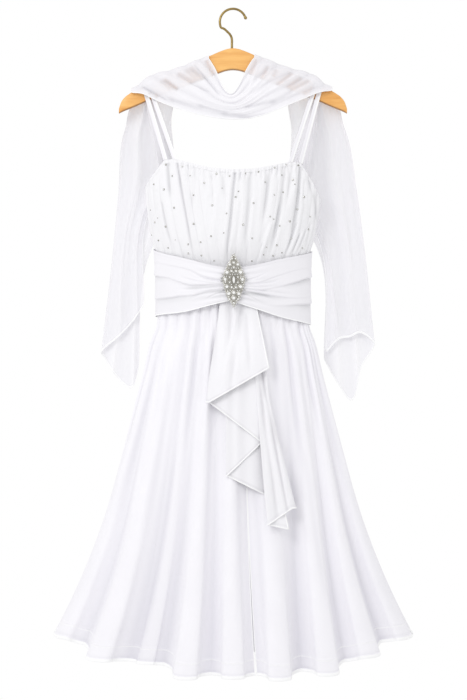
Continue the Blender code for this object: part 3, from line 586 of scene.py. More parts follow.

# %% Creases of the bodice, placed one by one; a negative depth is a ridge
Gather = namedtuple("Gather", "top_x top_z bottom_x bottom_z bow width depth")
BODICE_CREASES = rows_of(Gather,
    (-144, -346, -141, -390, 0, 5.5, 1.0), (-133, -372, -110, -460, -3, 3.0, 1.8),
    (-124, -296, -118, -361, 0, 4.0, 2.2), (-106, -289, -74, -471, 0, 2.2, 2.8),
    (-86, -302, -84, -338, 0, 3.0, 1.4), (-70, -302, -74, -380, 0, 5.0, 1.6),
    (-53, -301, -49, -352, 0, 4.0, 1.6), (-42, -304, -40, -334, 0, 2.5, 1.3),
    (-32, -361, -36, -447, 0, 5.0, -1.2), (-21, -306, -17, -361, 0, 3.5, 1.4),
    (4, -308, -13, -479, 1, 3.0, 3.2), (10, -370, 2, -447, 0, 3.0, -1.6),
    (15, -308, 13, -334, 0, 2.5, 1.3), (32, -306, 19, -479, 1, 5.0, 1.8),
    (38, -370, 28, -456, 0, 4.0, -1.2), (55, -302, 55, -333, 0, 3.0, 1.4),
    (55, -448, 46, -479, 0, 2.4, 1.5), (70, -299, 55, -409, 2, 5.5, 1.6),
    (70, -414, 48, -479, 0, 3.6, -1.8), (84, -296, 82, -327, 0, 3.0, 1.4),
    (99, -293, 66, -479, 4, 4.5, 3.2), (112, -292, 101, -380, 0, 4.5, 1.8),
    (112, -342, 95, -428, 0, 5.5, -1.6), (127, -296, 103, -467, 5, 4.0, 3.0),
    (120, -409, 97, -471, 0, 2.0, 1.6), (125, -429, 108, -469, 0, 2.0, 2.0),
    (137, -422, 120, -464, 0, 2.0, 1.8), (146, -409, 137, -456, 0, 2.4, 1.5),
    (142, -319, 148, -352, 0, 3.0, 2.0), (154, -353, 160, -409, 0, 3.5, 2.0),
    (-97, -292, -95, -312, 0, 1.8, 1.2), (-77, -299, -78, -318, 0, 1.8, 1.2),
    (-61, -302, -60, -328, 0, 2.0, 1.4), (-30, -306, -30, -326, 0, 2.0, 1.2),
    (-8, -308, -8, -322, 0, 1.8, 1.0), (24, -307, 24, -324, 0, 1.8, 1.2),
    (46, -304, 45, -322, 0, 2.0, 1.2), (62, -302, 61, -340, 0, 2.0, 1.6),
    (76, -300, 74, -322, 0, 1.8, 1.4), (92, -296, 90, -318, 0, 1.8, 1.4),
    (106, -294, 104, -316, 0, 1.8, 1.2), (119, -295, 118, -318, 0, 1.8, 1.2),
    (134, -330, 132, -372, 0, 2.4, 1.6), (86, -380, 78, -440, 0, 2.4, 1.4))


def crease_relief(creases, x, z):
    """Troughs with a soft ridge on each side, along lines that lean and bow."""
    relief = np.zeros(np.broadcast(x, z).shape)
    for crease in creases:
        along = (crease.top_z - z) / (crease.top_z - crease.bottom_z)
        line = mix(crease.top_x, crease.bottom_x, along) + crease.bow * np.sin(math.pi * np.clip(along, 0, 1))
        beside = (x - line) / crease.width
        ends = smooth((along + 0.12) / 0.15) * smooth((1.1 - along) / 0.45)
        relief -= crease.depth * trough(beside, 0.42, 2.1) * ends
    return relief


# %% Gathers of the bodice
GATHER_DRIFT = [Sway(0.007, TURN * 2.3, 0, TURN * 0.2), Sway(0.004, TURN * 6.1, 0, 0)]
GATHER_STRENGTH = [Sway(0.3, TURN * 3.1, TURN * 0.8, 0), Sway(0.2, TURN * 8.3, -TURN * 1.1, 1.0)]
MEAN_STRENGTH = 0.82


def gather_wave(across, down):
    """Ridges over the panel, each a little out of place and of another strength."""
    ridge = round_ridges(math.pi * GATHERS * (across + sway(GATHER_DRIFT, across)), 0.8)
    return ridge * (MEAN_STRENGTH + sway(GATHER_STRENGTH, across, down))


def neck_gathers(x, below):
    """Short gathers that hang from the casing, some longer than others."""
    ridge = round_ridges(math.pi * x / NECK_GATHER + 0.9 * np.sin(x / 17))
    reach = NECK_REACH + NECK_REACH_SWAY * np.sin(x / 13 + 1)
    small = TINY_DEPTH * np.cos(TURN * x / TINY_GATHER) * (1 - smooth((below - CASING) / TINY_REACH))
    return ridge * (1 - smooth((below - CASING) / reach)) * smooth(below / CASING + 0.2) + small


# %% Bodice front
FRONT_FULL_SHADE_DEPTH = 2.2


def bodice_front_relief(across, down):
    """Places and relief of the front panel's points."""
    low = across + GATHER_CONVERGENCE * np.sin(TURN * across)
    degrees = 180 * mix(across, low, down)
    top_x = -BODICE_SECTIONS[1].half_width * np.cos(math.pi * across)
    top = read_straight(FRONT_TOP_EDGE, "z", top_x)
    z = mix(top, WAIST_Z + SEAM / 2, down)
    x = section_points(BODICE_SECTIONS, degrees, z, 0.0)[..., 0]
    fade = smooth(np.minimum(across, 1 - across) / EDGE_FADE)
    below = top - z
    casing = 1 - smooth((below - CASING + CASING_STEP) / CASING_STEP)
    folds = read(BODICE_GATHERS, "depth", down) * gather_wave(across, down)
    folds = folds + crease_relief(BODICE_CREASES, x, z)
    relief = (folds * (1 - CASING_FLATTENS * casing) + neck_gathers(top_x, below)) * fade
    return degrees, z, relief, relief + casing * CASING_RISE


def lift_ends(grid, first, last):
    """Moves the two side edges of a panel, so that neighbours keep their seam gap."""
    grid[:, 0] += np.asarray(first, float)
    grid[:, -1] += np.asarray(last, float)
    return grid


FRONT_COLUMNS = np.linspace(0, 1, 481)[None, :]
CASING_ROWS, BODY_ROWS = np.linspace(0, 0.05, 12, endpoint=False), np.linspace(0.05, 1, 80)
FRONT_ROWS = np.concatenate([CASING_ROWS, BODY_ROWS])[:, None]
degrees, z, relief, out = bodice_front_relief(FRONT_COLUMNS, FRONT_ROWS)
bodice_grid = lift_ends(section_points(BODICE_SECTIONS, degrees, z, out), (0, -SEAM, 0), (0, -SEAM, 0))
# Shade is painted into the hollows of the gathers and creases, in proportion to their depth.
bodice_shell = cloth_shell("bodice_front_cloth", bodice_grid, ruched, -relief / FRONT_FULL_SHADE_DEPTH)
bodice_front = hand_over(bodice_shell, "white_chiffon", "bodice_front")

# %% Bodice back, in two plain halves
TURNED_BAND, BAND_RISE = 8, 0.5
BACK_SLACK = [Sway(0.5, math.radians(9), 4, 0)]


def bodice_back_grid(start, end):
    degrees = np.linspace(start, end, 90)[None, :]
    down = np.linspace(0, 1, 60)[:, None]
    top = read_straight(BACK_TOP_EDGE, "z", degrees)
    z = mix(top, WAIST_Z + SEAM / 2, down)
    band = BAND_RISE * (1 - smooth((top - z - TURNED_BAND) / 1.5))
    slack = sway(BACK_SLACK, degrees, down) * np.sin(math.pi * down)
    side_fade = smooth((360 - degrees) / 12) * smooth((degrees - 180) / 12)
    return section_points(BODICE_SECTIONS, degrees, z, band + slack * side_fade)


def back_half(side, start, end, first, last):
    grid = lift_ends(bodice_back_grid(start, end), first, last)
    name = "bodice_back_" + side
    return hand_over(cloth_shell(name + "_cloth", grid, chiffon), "white_chiffon", name)


bodice_back_right = back_half("right", 180, 270, (0, SEAM, 0), (SEAM / 2, 0, 0))
bodice_back_left = back_half("left", 270, 360, (-SEAM / 2, 0, 0), (0, SEAM, 0))

# %% [markdown]
# ## Hanger
# A flat arm of varnished maple with rounded corners, broad in the middle and rounded at its ends, and a
# hook bent from brass wire with a small ball on its tip. Both are lofted from sections. The same bar table
# tells the straps and the drape how high the arm is, so it comes before them. A bevelled curve would be
# quicker, but its section can't change from a flat rectangle in the middle to a round end.

# %% Hanger bar
Bar = namedtuple("Bar", "x top bottom half_thickness")
BAR_SECTIONS = rows_of(Bar,
    (0, -73, -114.2, 6), (14, -75.5, -116, 6), (27, -80.3, -120.5, 6), (42, -87, -126.2, 6),
    (75, -102.2, -139, 6), (120, -123, -156.5, 6), (163, -142.8, -173.3, 6), (184, -152.4, -182.6, 6),
    (196, -159.3, -187.6, 5.9), (206, -167, -191.6, 5.6), (213, -177, -195, 4.8), (216.5, -187, -197, 3.6))
BAR_CORNER = 3.2
CORNER_SHARE = 0.7
left_arm = [row._replace(x=-row.x) for row in BAR_SECTIONS[:0:-1]]
both_arms = left_arm + BAR_SECTIONS


def bar_rings():
    reach = BAR_SECTIONS[-1].x
    x = reach * np.sin(np.linspace(-1, 1, 141) * math.pi / 2)
    top, bottom, half_y = (read(both_arms, column, x) for column in ("top", "bottom", "half_thickness"))
    half_z = (top - bottom) / 2
    corner = np.minimum(BAR_CORNER, CORNER_SHARE * np.minimum(half_y, half_z))
    rings = []
    for start, side_y, side_z in ((0, 1, 1), (90, -1, 1), (180, -1, -1), (270, 1, -1)):
        for turn in np.linspace(0, 90, 7):
            a = math.radians(start + turn)
            y = side_y * (half_y - corner) + corner * math.cos(a)
            z = (top + bottom) / 2 + side_z * (half_z - corner) + corner * math.sin(a)
            rings.append(np.stack([x, y, z], axis=-1))
    return np.stack(rings, axis=1)


# %% [markdown]
# ## Varnished maple
# Maple is pale with a fine grain, and its varnish has turned orange. The grain runs along the arms, so the
# noise that draws it is stretched along X, and a much finer one adds the pores. A picture of a board would
# fix one size and one tone; the noise can be tuned until its streaks are as faint as the real ones. Shade is
# painted onto the underside, which turns dark brown, and the varnish is rubbed duller in spots.

# %% Wood finish
GRAIN_STRETCH, PORE_STRETCH = (9, 60, 75), (60, 900, 1100)
DEEP_MAPLE, PALE_MAPLE, UNDERSIDE_SHADE_COLOR = (0.74, 0.33, 0.07), (0.96, 0.55, 0.175), (0.22, 0.075, 0.012)
PORE_SHARE, STREAK_SHARE, UNDERSIDE_SHADE_SHARE = 0.25, 0.85, 0.75


def wear(tree, place, scale, **more):
    return put(tree, "Group", {"Vector": place, "Scale": scale, **more}, node_tree=wear_group).outputs["Mask"]


wood, tree, shader = new_material("varnished_maple")
place = put(tree, "TexCoord").outputs["Object"]
drawn = put(tree, "Mapping", {"Vector": place, "Scale": GRAIN_STRETCH}).outputs["Vector"]
drawn_fine = put(tree, "Mapping", {"Vector": place, "Scale": PORE_STRETCH}).outputs["Vector"]
streaks = calc(tree, "MULTIPLY", noise(tree, drawn, 1.0, 5.0, Distortion=0.6), STREAK_SHARE)
grain = calc(tree, "MULTIPLY_ADD", noise(tree, drawn_fine, 1.0, 2.0), PORE_SHARE, streaks)
tint = put(tree, "ValToRGB", {"Fac": grain})
for stop, place_on_ramp, color in zip(tint.color_ramp.elements, (0.35, 0.72), (DEEP_MAPLE, PALE_MAPLE)):
    stop.position = place_on_ramp
    stop.color = (*color, 1)
# Painted shade: the wood is darkened towards a dark brown where its surface faces down.
facing = put(tree, "SeparateXYZ", {"Vector": put(tree, "NewGeometry").outputs["Normal"]}).outputs["Z"]
underside_shade = calc(tree, "MULTIPLY", rescale(tree, facing, From_Min=-0.15, From_Max=-0.8), UNDERSIDE_SHADE_SHARE)
varnish_and_shade = color_mix(tree, underside_shade, tint.outputs["Color"], UNDERSIDE_SHADE_COLOR)
tree.links.new(varnish_and_shade, shader.inputs["Base Color"])
gloss = rescale(tree, wear(tree, place, 120.0), To_Min=0.3, To_Max=0.48)
tree.links.new(gloss, shader.inputs["Roughness"])
tree.links.new(bump(tree, grain, 0.0002), shader.inputs["Normal"])
shader.inputs["Coat Weight"].default_value = 0.25
shader.inputs["Coat Roughness"].default_value = 0.2
hand_over(tube("hanger_bar_wood", bar_rings(), wood), "maple_wood", "hanger_bar")
print("bar:", 2 * BAR_SECTIONS[-1].x, "mm wide")

# %% Hook
WIRE_RADIUS = 2.25
HOOK_RADIUS = 25.0
HOOK_TIP_ANGLE = 20
HOOK_END_ANGLE = 205
SHANK_X = -2.0
Ball = namedtuple("Ball", "reach radius")
HOOK_BALL = rows_of(Ball, (3.9, 0.9), (3.4, 1.7), (2.6, 2.6), (1.3, 3.1), (0, 3.1), (-1.3, 2.6))
HOOK_NECK = [Edge(-17.5, -35.5), Edge(-11, -41), Edge(-5.8, -46.5), Edge(-3, -51.5), Edge(SHANK_X, -57),
             Edge(SHANK_X, -64.5), Edge(SHANK_X, BAR_SECTIONS[0].top + SEAM)]


def along_curve(points, count):
    """Points spread over the smooth curve through a few given ones."""
    points = np.asarray(points, float)
    run = np.concatenate([[0], np.cumsum(np.linalg.norm(np.diff(points, axis=0), axis=1))])
    Place = namedtuple("Place", "run x y z")
    table = [Place(at, *point) for at, point in zip(run, points)]
    at = np.linspace(0, run[-1], count)
    return np.stack([read(table, axis, at) for axis in "xyz"], axis=-1)


def hook_rings():
    turns = np.radians(np.linspace(HOOK_TIP_ANGLE, HOOK_END_ANGLE, 15))
    centre_z = WIRE_RADIUS - HOOK_RADIUS
    loop = [(HOOK_RADIUS * math.cos(a), 0, centre_z + HOOK_RADIUS * math.sin(a)) for a in turns]
    path = along_curve(loop + [(place.x, 0, place.z) for place in HOOK_NECK], 110)
    along = (path[0] - path[1]) / np.linalg.norm(path[0] - path[1])
    ball = [path[0] + along * row.reach for row in HOOK_BALL]
    radii = [row.radius for row in HOOK_BALL] + [WIRE_RADIUS] * (len(path) - 2)
    return sweep(np.concatenate([ball, path[2:]]), radii, 20)


# %% [markdown]
# ## Antique brass
# Old brass wire is a dark yellow metal with a brown film that comes and goes along it. A plain metal with one
# colour would look like new plating. Here the wear effect chooses between two browns and makes the darker
# places duller too.

# %% Brass finish
CLEAN_BRASS, BROWN_BRASS = (0.40, 0.29, 0.11), (0.24, 0.165, 0.06)

brass, tree, shader = new_material("antique_brass")
place = put(tree, "TexCoord").outputs["Object"]
dull = wear(tree, place, 180.0, Contrast=2.5)
tree.links.new(color_mix(tree, dull, CLEAN_BRASS, BROWN_BRASS), shader.inputs["Base Color"])
tree.links.new(rescale(tree, dull, To_Min=0.25, To_Max=0.45), shader.inputs["Roughness"])
shader.inputs["Metallic"].default_value = 1.0
hand_over(tube("hanger_hook_wire", hook_rings(), brass), "brass", "hanger_hook")
print("hook: wire", 2 * WIRE_RADIUS, "mm")

# %% [markdown]
# ## Straps
# Each strap is a narrow turned tube of satin, pressed flat. It rises from the neckline, lies over the
# arm of the hanger and comes down to the back. A ribbon of two triangles a step would do from afar; a
# flattened tube has the soft rounded edges that catch the light.

# %% Four straps over the arms
Strap = namedtuple("Strap", "name front arm back")
STRAPS = [
    Strap("strap_left_outer", -127, -166.5, -127), Strap("strap_left_inner", -109, -157, -110),
    Strap("strap_right_outer", 127, 164.5, 127), Strap("strap_right_inner", 108, 155, 110)]
STRAP_WIDTH = 7.6
STRAP_WALL = 1.5
STRAP_DROP_ON_ARM = 10
STRAP_THICKNESS = 0.3
FLAT_ACROSS, FLAT_THROUGH = 0.7, 0.55
EDGE_ROOM = 0.15


def arm_top(x):
    return read(both_arms, "top", x)


def bodice_at(x, z, behind):
    degrees = math.degrees(math.acos(-x / float(read(BODICE_SECTIONS, "half_width", z))))
    return section_points(BODICE_SECTIONS, 360 - degrees if behind else degrees, z, 0.0)


def strap_line(front_x, arm_x, back_x):
    """The strap's path from the front of the bodice over the arm to its back."""
    lift = SEAM + STRAP_WALL / 2
    reach = BAR_SECTIONS[0].half_thickness + lift
    bend = BAR_CORNER + lift
    top = float(arm_top(arm_x)) + EDGE_ROOM
    front_z = read_straight(FRONT_TOP_EDGE, "z", front_x) + SEAM + EDGE_ROOM
    back_angle = 360 - math.degrees(math.acos(-back_x / BODICE_SECTIONS[1].half_width))
    back_z = read_straight(BACK_TOP_EDGE, "z", back_angle) + SEAM + EDGE_ROOM
    front, back = bodice_at(front_x, front_z, False), bodice_at(back_x, back_z, True)
    turns = np.radians(np.linspace(0, 90, 8))
    quarter = [(reach - bend + bend * math.cos(a), bend * math.sin(a) - BAR_CORNER) for a in turns]
    over = [(arm_x, -reach, top - STRAP_DROP_ON_ARM)] + [(arm_x, -y, top + z) for y, z in quarter]
    over += [(arm_x, y, top + z) for y, z in reversed(quarter)] + [(arm_x, reach, top - STRAP_DROP_ON_ARM)]
    rise = [mix(front, np.array(over[0]), share) for share in np.linspace(0, 1, 14, endpoint=False)]
    fall = [mix(np.array(over[-1]), back, share) for share in np.linspace(0, 1, 15)[1:]]
    return np.array(rise + [np.array(point) for point in over] + fall)


def strap_rings(strap):
    """Rings of a flattened tube between the strap's two edges."""
    half = STRAP_WIDTH / 2
    low = strap_line(strap.front - half, strap.arm - half, strap.back - half)
    high = strap_line(strap.front + half, strap.arm + half, strap.back + half)
    middle, side = (low + high) / 2, (high - low) / 2
    tangent = np.gradient(middle, axis=0)
    outward = np.cross(side, tangent)
    outward *= STRAP_WALL / 2 / np.linalg.norm(outward, axis=1, keepdims=True)
    angles = np.linspace(0, TURN, 20, endpoint=False)[None, :, None]
    flat_cos = np.sign(np.cos(angles)) * np.abs(np.cos(angles)) ** FLAT_ACROSS
    flat_sin = np.sign(np.sin(angles)) * np.abs(np.sin(angles)) ** FLAT_THROUGH
    return middle[:, None] + side[:, None] * flat_cos + outward[:, None] * flat_sin


for strap in STRAPS:
    rings = strap_rings(strap)
    piece = tube(strap.name + "_satin", rings, satin, closed=False)
    wall = piece.modifiers.new("wall", "SOLIDIFY")
    wall.thickness = STRAP_THICKNESS * MM
    wall.offset = -1
    settle(piece)
    hand_over(piece, "white_satin", strap.name)

# %% [markdown]
# ## Pleated sash
# Two bands of satin run from the side seams to the middle, where they are pinched under the brooch. Three
# folded pleats part each band into four soft rolls that narrow towards the middle. A row of arches would
# be simpler, but it would look like a pipe organ: real pleats lap over each other. So each pleat is a line
# with a full edge above it and a narrow hollow below. Short tucks, placed one by one, fan out from the knot.

# %% Sash sizes
Band = namedtuple("Band", "across top bottom")
SASH_LEFT = rows_of(Band,
    (0, -454, -582), (0.3, -463, -579), (0.6, -475, -574), (0.85, -489, -561), (1, -495, -553))
SASH_RIGHT = rows_of(Band,
    (0, -459, -599), (0.3, -466, -594), (0.6, -476, -584), (0.85, -489, -567), (1, -495, -556))
SASH_SECTIONS = rows_of(Section,
    (-450, 151.5, 62.5, 50.0), (-485, 148.5, 61.5, 49.0), (-525, 147, 60, 48.9), (-570, 147.3, 60, 49.8),
    (-600, 148.2, 60, 51.2))
SASH_BUNCH = 7.0
SASH_BUNCH_WIDTH = 70.0
Lap = namedtuple("Lap", "across place height")
LEFT_LAPS = [
    rows_of(Lap, (0, 0.19, 0.3), (0.4, 0.18, 0.5), (0.65, 0.21, 0.9), (0.77, 0.29, 0.9),
            (0.91, 0.36, 0.7), (1, 0.4, 0.4)),
    rows_of(Lap, (0, 0.39, 2.2), (0.25, 0.39, 1.7), (0.4, 0.4, 1.0), (0.55, 0.457, 1.6),
            (0.65, 0.5, 2.4), (0.77, 0.49, 2.4), (0.91, 0.5, 1.8), (1, 0.5, 1.2)),
    rows_of(Lap, (0, 0.75, 1.0), (0.2, 0.745, 1.7), (0.4, 0.73, 2.1), (0.55, 0.7, 1.8),
            (0.65, 0.7, 1.2), (0.77, 0.68, 1.0), (0.91, 0.645, 2.0), (1, 0.62, 1.6))]
RIGHT_LAPS = [
    rows_of(Lap, (0, 0.21, 0.3), (0.53, 0.25, 0.6), (0.69, 0.324, 0.9), (0.78, 0.39, 1.3),
            (0.89, 0.42, 1.3), (1, 0.42, 0.6)),
    rows_of(Lap, (0, 0.353, 2.4), (0.27, 0.36, 2.7), (0.41, 0.4, 2.3), (0.53, 0.444, 1.4),
            (0.69, 0.52, 0.9), (0.78, 0.565, 1.8), (0.89, 0.565, 2.2), (1, 0.565, 1.4)),
    rows_of(Lap, (0, 0.6, 0.2), (0.3, 0.64, 0.4), (0.53, 0.655, 0.9), (0.69, 0.645, 1.8),
            (0.78, 0.635, 2.0), (0.89, 0.64, 1.4), (1, 0.66, 1.0)),
    rows_of(Lap, (0, 0.707, 2.3), (0.27, 0.73, 2.3), (0.41, 0.75, 1.6), (0.53, 0.785, 0.9),
            (0.69, 0.83, 0.3), (1, 0.9, 0.0))]
Tuck = namedtuple("Tuck", "outer_across outer_down inner_down width depth")
LEFT_TUCKS = rows_of(Tuck,
    (0.62, 0.16, 0.44, 0.022, 1.5), (0.5, 0.3, 0.49, 0.02, 1.3), (0.7, 0.42, 0.52, 0.018, 1.2),
    (0.45, 0.6, 0.55, 0.022, 1.4), (0.6, 0.8, 0.6, 0.024, 1.6), (0.75, 0.9, 0.66, 0.02, 1.2))
RIGHT_TUCKS = rows_of(Tuck,
    (0.7, 0.12, 0.4, 0.02, 1.2), (0.55, 0.3, 0.48, 0.022, 1.4), (0.65, 0.46, 0.52, 0.018, 1.2),
    (0.4, 0.62, 0.56, 0.022, 1.4), (0.62, 0.74, 0.6, 0.022, 1.5), (0.75, 0.9, 0.66, 0.02, 1.2))
LAP_WIDTH = 3.5
KNOT_PLEATS = 6.5
FOLDED_EDGE = 4.0


def sash_points(degrees, z, out):
    """Points of the band; its front bunches up towards the brooch."""
    x = read(SASH_SECTIONS, "half_width", z) * np.cos(np.radians(degrees))
    bunch = np.where(np.sin(np.radians(degrees)) > 0, SASH_BUNCH * bell(x, SASH_BUNCH_WIDTH), 0)
    return section_points(SASH_SECTIONS, degrees, z, out + bunch)


# %% Laps, tucks and the knot
LAP_FULL, LAP_FULL_REACH = 1.3, 12
LAP_HOLLOW, LAP_HOLLOW_REACH = 1.1, 8
FLAT_AT_SEAM, SEAM_RUN = 0.2, 0.05
KNOT_DEPTH, KNOT_START, KNOT_RUN = 1.1, 0.6, 0.35
KNOT_LEAN = [Sway(1.5, 3, 0, 0)]


def lap(above, height):
    """A fold that laps over the cloth below it: a full edge, then a narrow trough."""
    upper = LAP_FULL * height * np.exp(-np.maximum(above, 0) / LAP_FULL_REACH)
    lower = -LAP_HOLLOW * height * np.exp(-np.maximum(-above, 0) / LAP_HOLLOW_REACH)
    return mix(lower, upper, smooth((above + LAP_WIDTH / 2) / LAP_WIDTH))


def lap_folds(laps, across, down, drop):
    """All the laps of a band, which lie flat at its side seam."""
    folds = 0
    for lines in laps:
        above = (read(lines, "place", across) - down) * drop
        folds = folds + lap(above, read(lines, "height", across))
    return folds * (smooth(across / SEAM_RUN) * (1 - FLAT_AT_SEAM) + FLAT_AT_SEAM)


def tuck_relief(tucks, across, down):
    """Short troughs that fan out from the knot, each fading where it ends."""
    relief = np.zeros(np.broadcast(across, down).shape)
    for tuck in tucks:
        along = (across - tuck.outer_across) / (1 - tuck.outer_across)
        line = mix(tuck.outer_down, tuck.inner_down, np.sqrt(np.clip(along, 0, 1)))
        relief -= tuck.depth * trough((down - line) / tuck.width, 0.4, 2.0, 1.0) * smooth(along / 0.4)
    return relief


def knot_pleats(across, down):
    """Fine pleats that start beside the brooch and run in under it."""
    pleats = KNOT_DEPTH * np.cos(TURN * KNOT_PLEATS * down + sway(KNOT_LEAN, across))
    return pleats * smooth((across - KNOT_START) / KNOT_RUN) * smooth((1.06 - across) / 0.08)


# %% Sash fronts
SASH_SLACK = [Sway(0.25, 19, 9, 1)]
FOLDED_RISE, FOLDED_STEP = 0.5, 1.5
BAND_ROUND = 1.2
SASH_FULL_SHADE_DEPTH = 2.6


def sash_front_grid(table, laps, tucks, mirrored):
    """Points of a front band from its side seam to the middle, and the shade painted into its folds."""
    across = np.linspace(0, 1, 141)[None, :]
    down = np.linspace(0, 1, 121)[:, None]
    degrees = 180 - 90 * across if mirrored else 90 * across
    top, bottom = read(table, "top", across), read(table, "bottom", across)
    z = mix(top, bottom, down)
    folds = lap_folds(laps, across, down, top - bottom) + knot_pleats(across, down)
    folds = folds + tuck_relief(tucks, across, down)
    slack = sway(SASH_SLACK, across, down) * np.sin(math.pi * down) * smooth(across / 0.1)
    edge = np.minimum(top - z, z - bottom)
    rim = FOLDED_RISE * (1 - smooth((edge - FOLDED_EDGE) / FOLDED_STEP))
    middle = BAND_ROUND * np.sin(math.pi * down) - BAND_ROUND / 2
    return sash_points(degrees, z, folds + slack + rim + middle), -folds / SASH_FULL_SHADE_DEPTH


SashFront = namedtuple("SashFront", "side table laps tucks middle")
SASH_FRONTS = [
    SashFront("left", SASH_LEFT, LEFT_LAPS, LEFT_TUCKS, -SEAM / 2),
    SashFront("right", SASH_RIGHT, RIGHT_LAPS, RIGHT_TUCKS, SEAM / 2)]
sash_fronts = []
for front in SASH_FRONTS:
    grid, hollow = sash_front_grid(front.table, front.laps, front.tucks, front.side == "right")
    grid = lift_ends(grid, (0, -SEAM, 0), (front.middle, 0, 0))
    name = "sash_front_" + front.side
    sash_fronts.append(hand_over(cloth_shell(name + "_satin", grid, satin, hollow), "white_satin", name))
sash_left, sash_right = sash_fronts

# %% Sash back, plain
BACK_BAND_SLACK = [Sway(0.4, 31, 6, 0)]
across = np.linspace(0, 1, 141)[None, :]
down = np.linspace(0, 1, 40)[:, None]
top = mix(SASH_RIGHT[0].top, SASH_LEFT[0].top, across)
bottom = mix(SASH_RIGHT[0].bottom, SASH_LEFT[0].bottom, across)
slack = sway(BACK_BAND_SLACK, across, down) * np.sin(math.pi * down) * np.sin(math.pi * across)
back_points = sash_points(180 + 180 * across, mix(top, bottom, down), slack)
back_grid = lift_ends(back_points, (0, SEAM, 0), (0, SEAM, 0))
sash_back = hand_over(cloth_shell("sash_back_satin", back_grid, satin), "white_satin", "sash_back")

# %% [markdown]
# ## Skirt
# Four flared panels hang from the waist. Flared cloth falls in flutes: cones that start near the hip and
# widen to the hem. A table names each crest and hollow by its angle round the hem, how far it stands out
# there and how low it reaches, and a second table says how much of the fold has opened at each height.
# Short gathers leave the waist, and soft creases, placed one by one, keep the flutes from looking turned.
# Simulated cloth would find flutes of its own, but not these, whose hem line the photograph fixes.

# %% Skirt sizes
Flare = namedtuple("Flare", "down half_width front back fold gather")
SKIRT_SECTIONS = rows_of(Flare,
    (0, 140.5, 49, 46.5, 0, 1.0), (0.09, 142, 52, 46.6, 0, 1.2), (0.115, 144.5, 53.5, 47.6, 0, 1.8),
    (0.16, 155, 58, 53, 0.05, 2.8), (0.25, 169, 65, 60, 0.12, 3.2), (0.35, 186, 72, 66, 0.22, 2.6),
    (0.51, 213, 85, 76, 0.42, 1.0), (0.68, 245, 100, 88, 0.64, 0.2), (0.82, 279, 114, 99, 0.82, 0),
    (0.95, 318, 127, 110, 0.96, 0), (1, 335, 132, 114, 1, 0))
Fold = namedtuple("Fold", "angle out hem waist")
FRONT_LEFT_FOLDS = rows_of(Fold,
    (0, 0, -1176, 0), (20, 12, -1187, 20), (31, -14, -1198, 30), (43, 20, -1219, 42), (54, -18, -1221, 53),
    (61, -6, -1223, 60), (67, -18, -1225, 67), (75, 20, -1243, 74), (83, -16, -1240, 79),
    (90, 18, -1241, 88), (97.3, -12, -1240, 96.5))
FRONT_RIGHT_FOLDS = rows_of(Fold,
    (97.3, -12, -1240, 96.5), (104.5, 20, -1245, 111), (112.5, -18, -1236, 130), (121, 20, -1240, 142),
    (129, -15, -1223, 151), (138, 17, -1213, 157), (149, -16, -1194, 162), (161, 12, -1189, 167),
    (180, 0, -1176, 180))
BACK_RIGHT_FOLDS = rows_of(Fold,
    (180, 0, -1176, 180), (191, 12, -1189, 191), (201, -14, -1198, 200), (212, 18, -1211, 210),
    (221, -16, -1218, 218), (232, 19, -1228, 230), (241, -17, -1230, 240), (251, 19, -1240, 250),
    (260, -17, -1238, 260), (270, 17, -1243, 270))
BACK_LEFT_FOLDS = rows_of(Fold,
    (270, 17, -1243, 270), (281, -16, -1238, 281), (290, 19, -1240, 292), (300, -17, -1230, 303),
    (310, 18, -1226, 314), (320, -16, -1215, 325), (329, 18, -1208, 332), (339, -15, -1196, 341),
    (349, 9, -1186, 349), (360, 0, -1176, 360))
SKIRT_LENGTH = 700.0
SLIT_START = 0.45
SLIT_HALF_OPENING = 1.6
SLIT_EASE = 14.0
FOLD_STEPS = 18
FOLD_BACK = 0.14
CREST_FULLNESS = 0.62
PLEAT, PLEAT_DEPTH, PLEAT_END, PLEAT_FADE = 19.0, 2.2, 0.2, 0.19
PLEAT_LEAN, PLEAT_LEAN_LENGTH = 0.8, 31
PLEAT_SWELL, PLEAT_SWELL_LENGTH = 0.4, 23
HEM_RIM, RIM_RISE = 3.3, 1.2
LINE_HEIGHT, LINE_RISE, LINE_WIDTH = 29.0, 0.6, 1.3
FLUTE_SHADE, SHADE_FROM, SHADE_RANGE = 0.9, 7, 25
CREASE_SHADE_DEPTH, MOST_CREASE_SHADE = 5.5, 0.6
RIM_SHADE, RIM_SHADE_HEIGHT, RIM_SHADE_WIDTH = 0.45, 8.6, 1.7

# %% Creases of the skirt, placed one by one; a negative depth is a trough
Crease = namedtuple("Crease", "top_angle bottom_angle top bottom width depth")
FRONT_LEFT_CREASES = rows_of(Crease,
    (12, 10, 0.1, 0.5, 3.0, -1.6), (29, 30, 0.07, 0.24, 2.0, -2.0), (28, 22, 0.2, 0.7, 3.0, -1.8),
    (35, 34, 0.3, 0.8, 2.6, 1.5), (42, 43, 0.07, 0.22, 1.8, -1.8), (47, 48, 0.25, 0.75, 1.8, -1.2),
    (53, 54, 0.06, 0.5, 2.0, -2.6), (57.5, 57, 0.45, 1.05, 1.4, -2.0), (65, 61, 0.08, 0.5, 2.4, -1.8),
    (70, 68, 0.06, 0.2, 1.6, -1.4), (75, 75.5, 0.07, 0.2, 1.4, -1.8), (77.5, 78, 0.3, 0.85, 1.3, -1.2),
    (81, 80, 0.06, 0.45, 1.6, -2.4), (88, 88, 0.06, 0.18, 1.3, -1.6), (93, 92, 0.5, 0.95, 1.2, -1.2))
